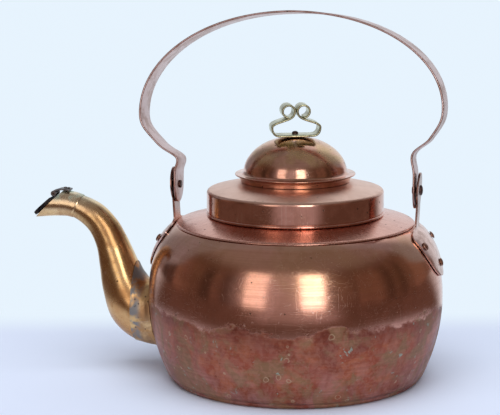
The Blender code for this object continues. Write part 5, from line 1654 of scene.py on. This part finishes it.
def surroundings(context, colours):
    """The world: pale where the camera sees it. For light and reflections, a dim warm room in
    front, which glows between its windows, and pale walls behind."""
    world = bpy.data.worlds.new("surroundings")
    context.scene.world = world
    world.use_nodes = True
    world.node_tree.nodes.clear()
    graph = Tree(world.node_tree)
    direction = graph.node("ShaderNodeTexCoord").outputs["Generated"]
    up = graph.axis(2, direction)
    flat = graph.vector("MULTIPLY", direction, (1.0, 1.0, 0.0))[0]
    level = graph.vector("NORMALIZE", flat)[0]
    front = graph.times(graph.axis(1, level), -1.0)
    clutter = graph.span(graph.noise(level, 2.6, 2.0, 0.6), 0.38, 0.62, 0.45, 1.75)
    tall = graph.span(up, 0.35, 0.6, 1.0, 0.0)
    clutter = graph.math("MULTIPLY_ADD", graph.math("SUBTRACT", clutter, 1.0), tall, 1.0)
    glow = graph.times(graph.span(front, 0.66, 1.0), graph.span(up, -0.3, 0.0))
    glow = graph.times(glow, graph.span(up, 0.5, 0.8, 1.0, 0.25))
    room = graph.mix(glow, graph.scaled(colours.room, clutter), ROOM_GLOW)
    room = graph.mix(graph.span(up, 0.50, 0.80), room, ROOM_CEILING)
    wall = graph.mix(graph.span(front, -0.98, -0.72), WALL_BEHIND, WALL_ASIDE)
    wall = graph.mix(graph.span(up, 0.75, 0.98), wall, WALL_CEILING)
    ahead = (math.sin(VIEW_TURN), -math.cos(VIEW_TURN), 0.0)
    heading = graph.vector("DOT_PRODUCT", level, ahead)[1]
    heading = graph.math("SUBTRACT", heading, graph.span(up, 0.0, 0.35, 0.0, 0.42))
    room = graph.mix(graph.span(heading, -0.80, -0.66), wall, room)
    seen = graph.node("ShaderNodeLightPath").outputs["Is Camera Ray"]
    show(graph, graph.node("ShaderNodeOutputWorld"), seen,
         radiance(graph, "ShaderNodeBackground", room),
         radiance(graph, "ShaderNodeBackground", colours.wall))


# ---- panel and running order --------------------------------------------------------------------
ORDER = ("stage", "body", "spout", "flap", "ears", "handle", "lid", "knob")


class KETTLE_PT_parts(bpy.types.Panel):
    """Lists the kettle's pieces, in the order in which they are made"""

    bl_label = "Copper stove kettle"
    bl_idname = "KETTLE_PT_parts"
    bl_space_type = "VIEW_3D"
    bl_region_type = "UI"
    bl_category = "Kettle"

    def draw(self, context):
        for word in ORDER:
            self.layout.operator("kettle." + word)
        scene = context.scene
        for group in (scene.kettle_body, scene.kettle_lid, scene.kettle_handle, scene.kettle_spout,
                      scene.kettle_colours):
            box = self.layout.box()
            for name in group.bl_rna.properties.keys():
                if name not in {"rna_type", "name"}:
                    box.prop(group, name)


GROUPS = {
    "kettle_body": KettleBodySizes,
    "kettle_lid": KettleLidSizes,
    "kettle_handle": KettleHandleSizes,
    "kettle_spout": KettleSpoutSizes,
    "kettle_colours": KettleColours,
}
CLASSES = (*GROUPS.values(), KETTLE_OT_stage, KETTLE_OT_body, KETTLE_OT_spout, KETTLE_OT_flap,
           KETTLE_OT_ears, KETTLE_OT_handle, KETTLE_OT_lid, KETTLE_OT_knob, KETTLE_PT_parts)


def register():
    """Adds the classes and the scene's settings."""
    for cls in CLASSES:
        bpy.utils.register_class(cls)
    for name, cls in GROUPS.items():
        setattr(bpy.types.Scene, name, PointerProperty(type=cls))


def unregister():
    """Takes away the settings and the classes."""
    for name in GROUPS:
        delattr(bpy.types.Scene, name)
    for cls in reversed(CLASSES):
        bpy.utils.unregister_class(cls)


def main():
    """Makes everything in order."""
    register()
    for word in ORDER:
        getattr(bpy.ops.kettle, word)()


if __name__ == "__main__":
    main()
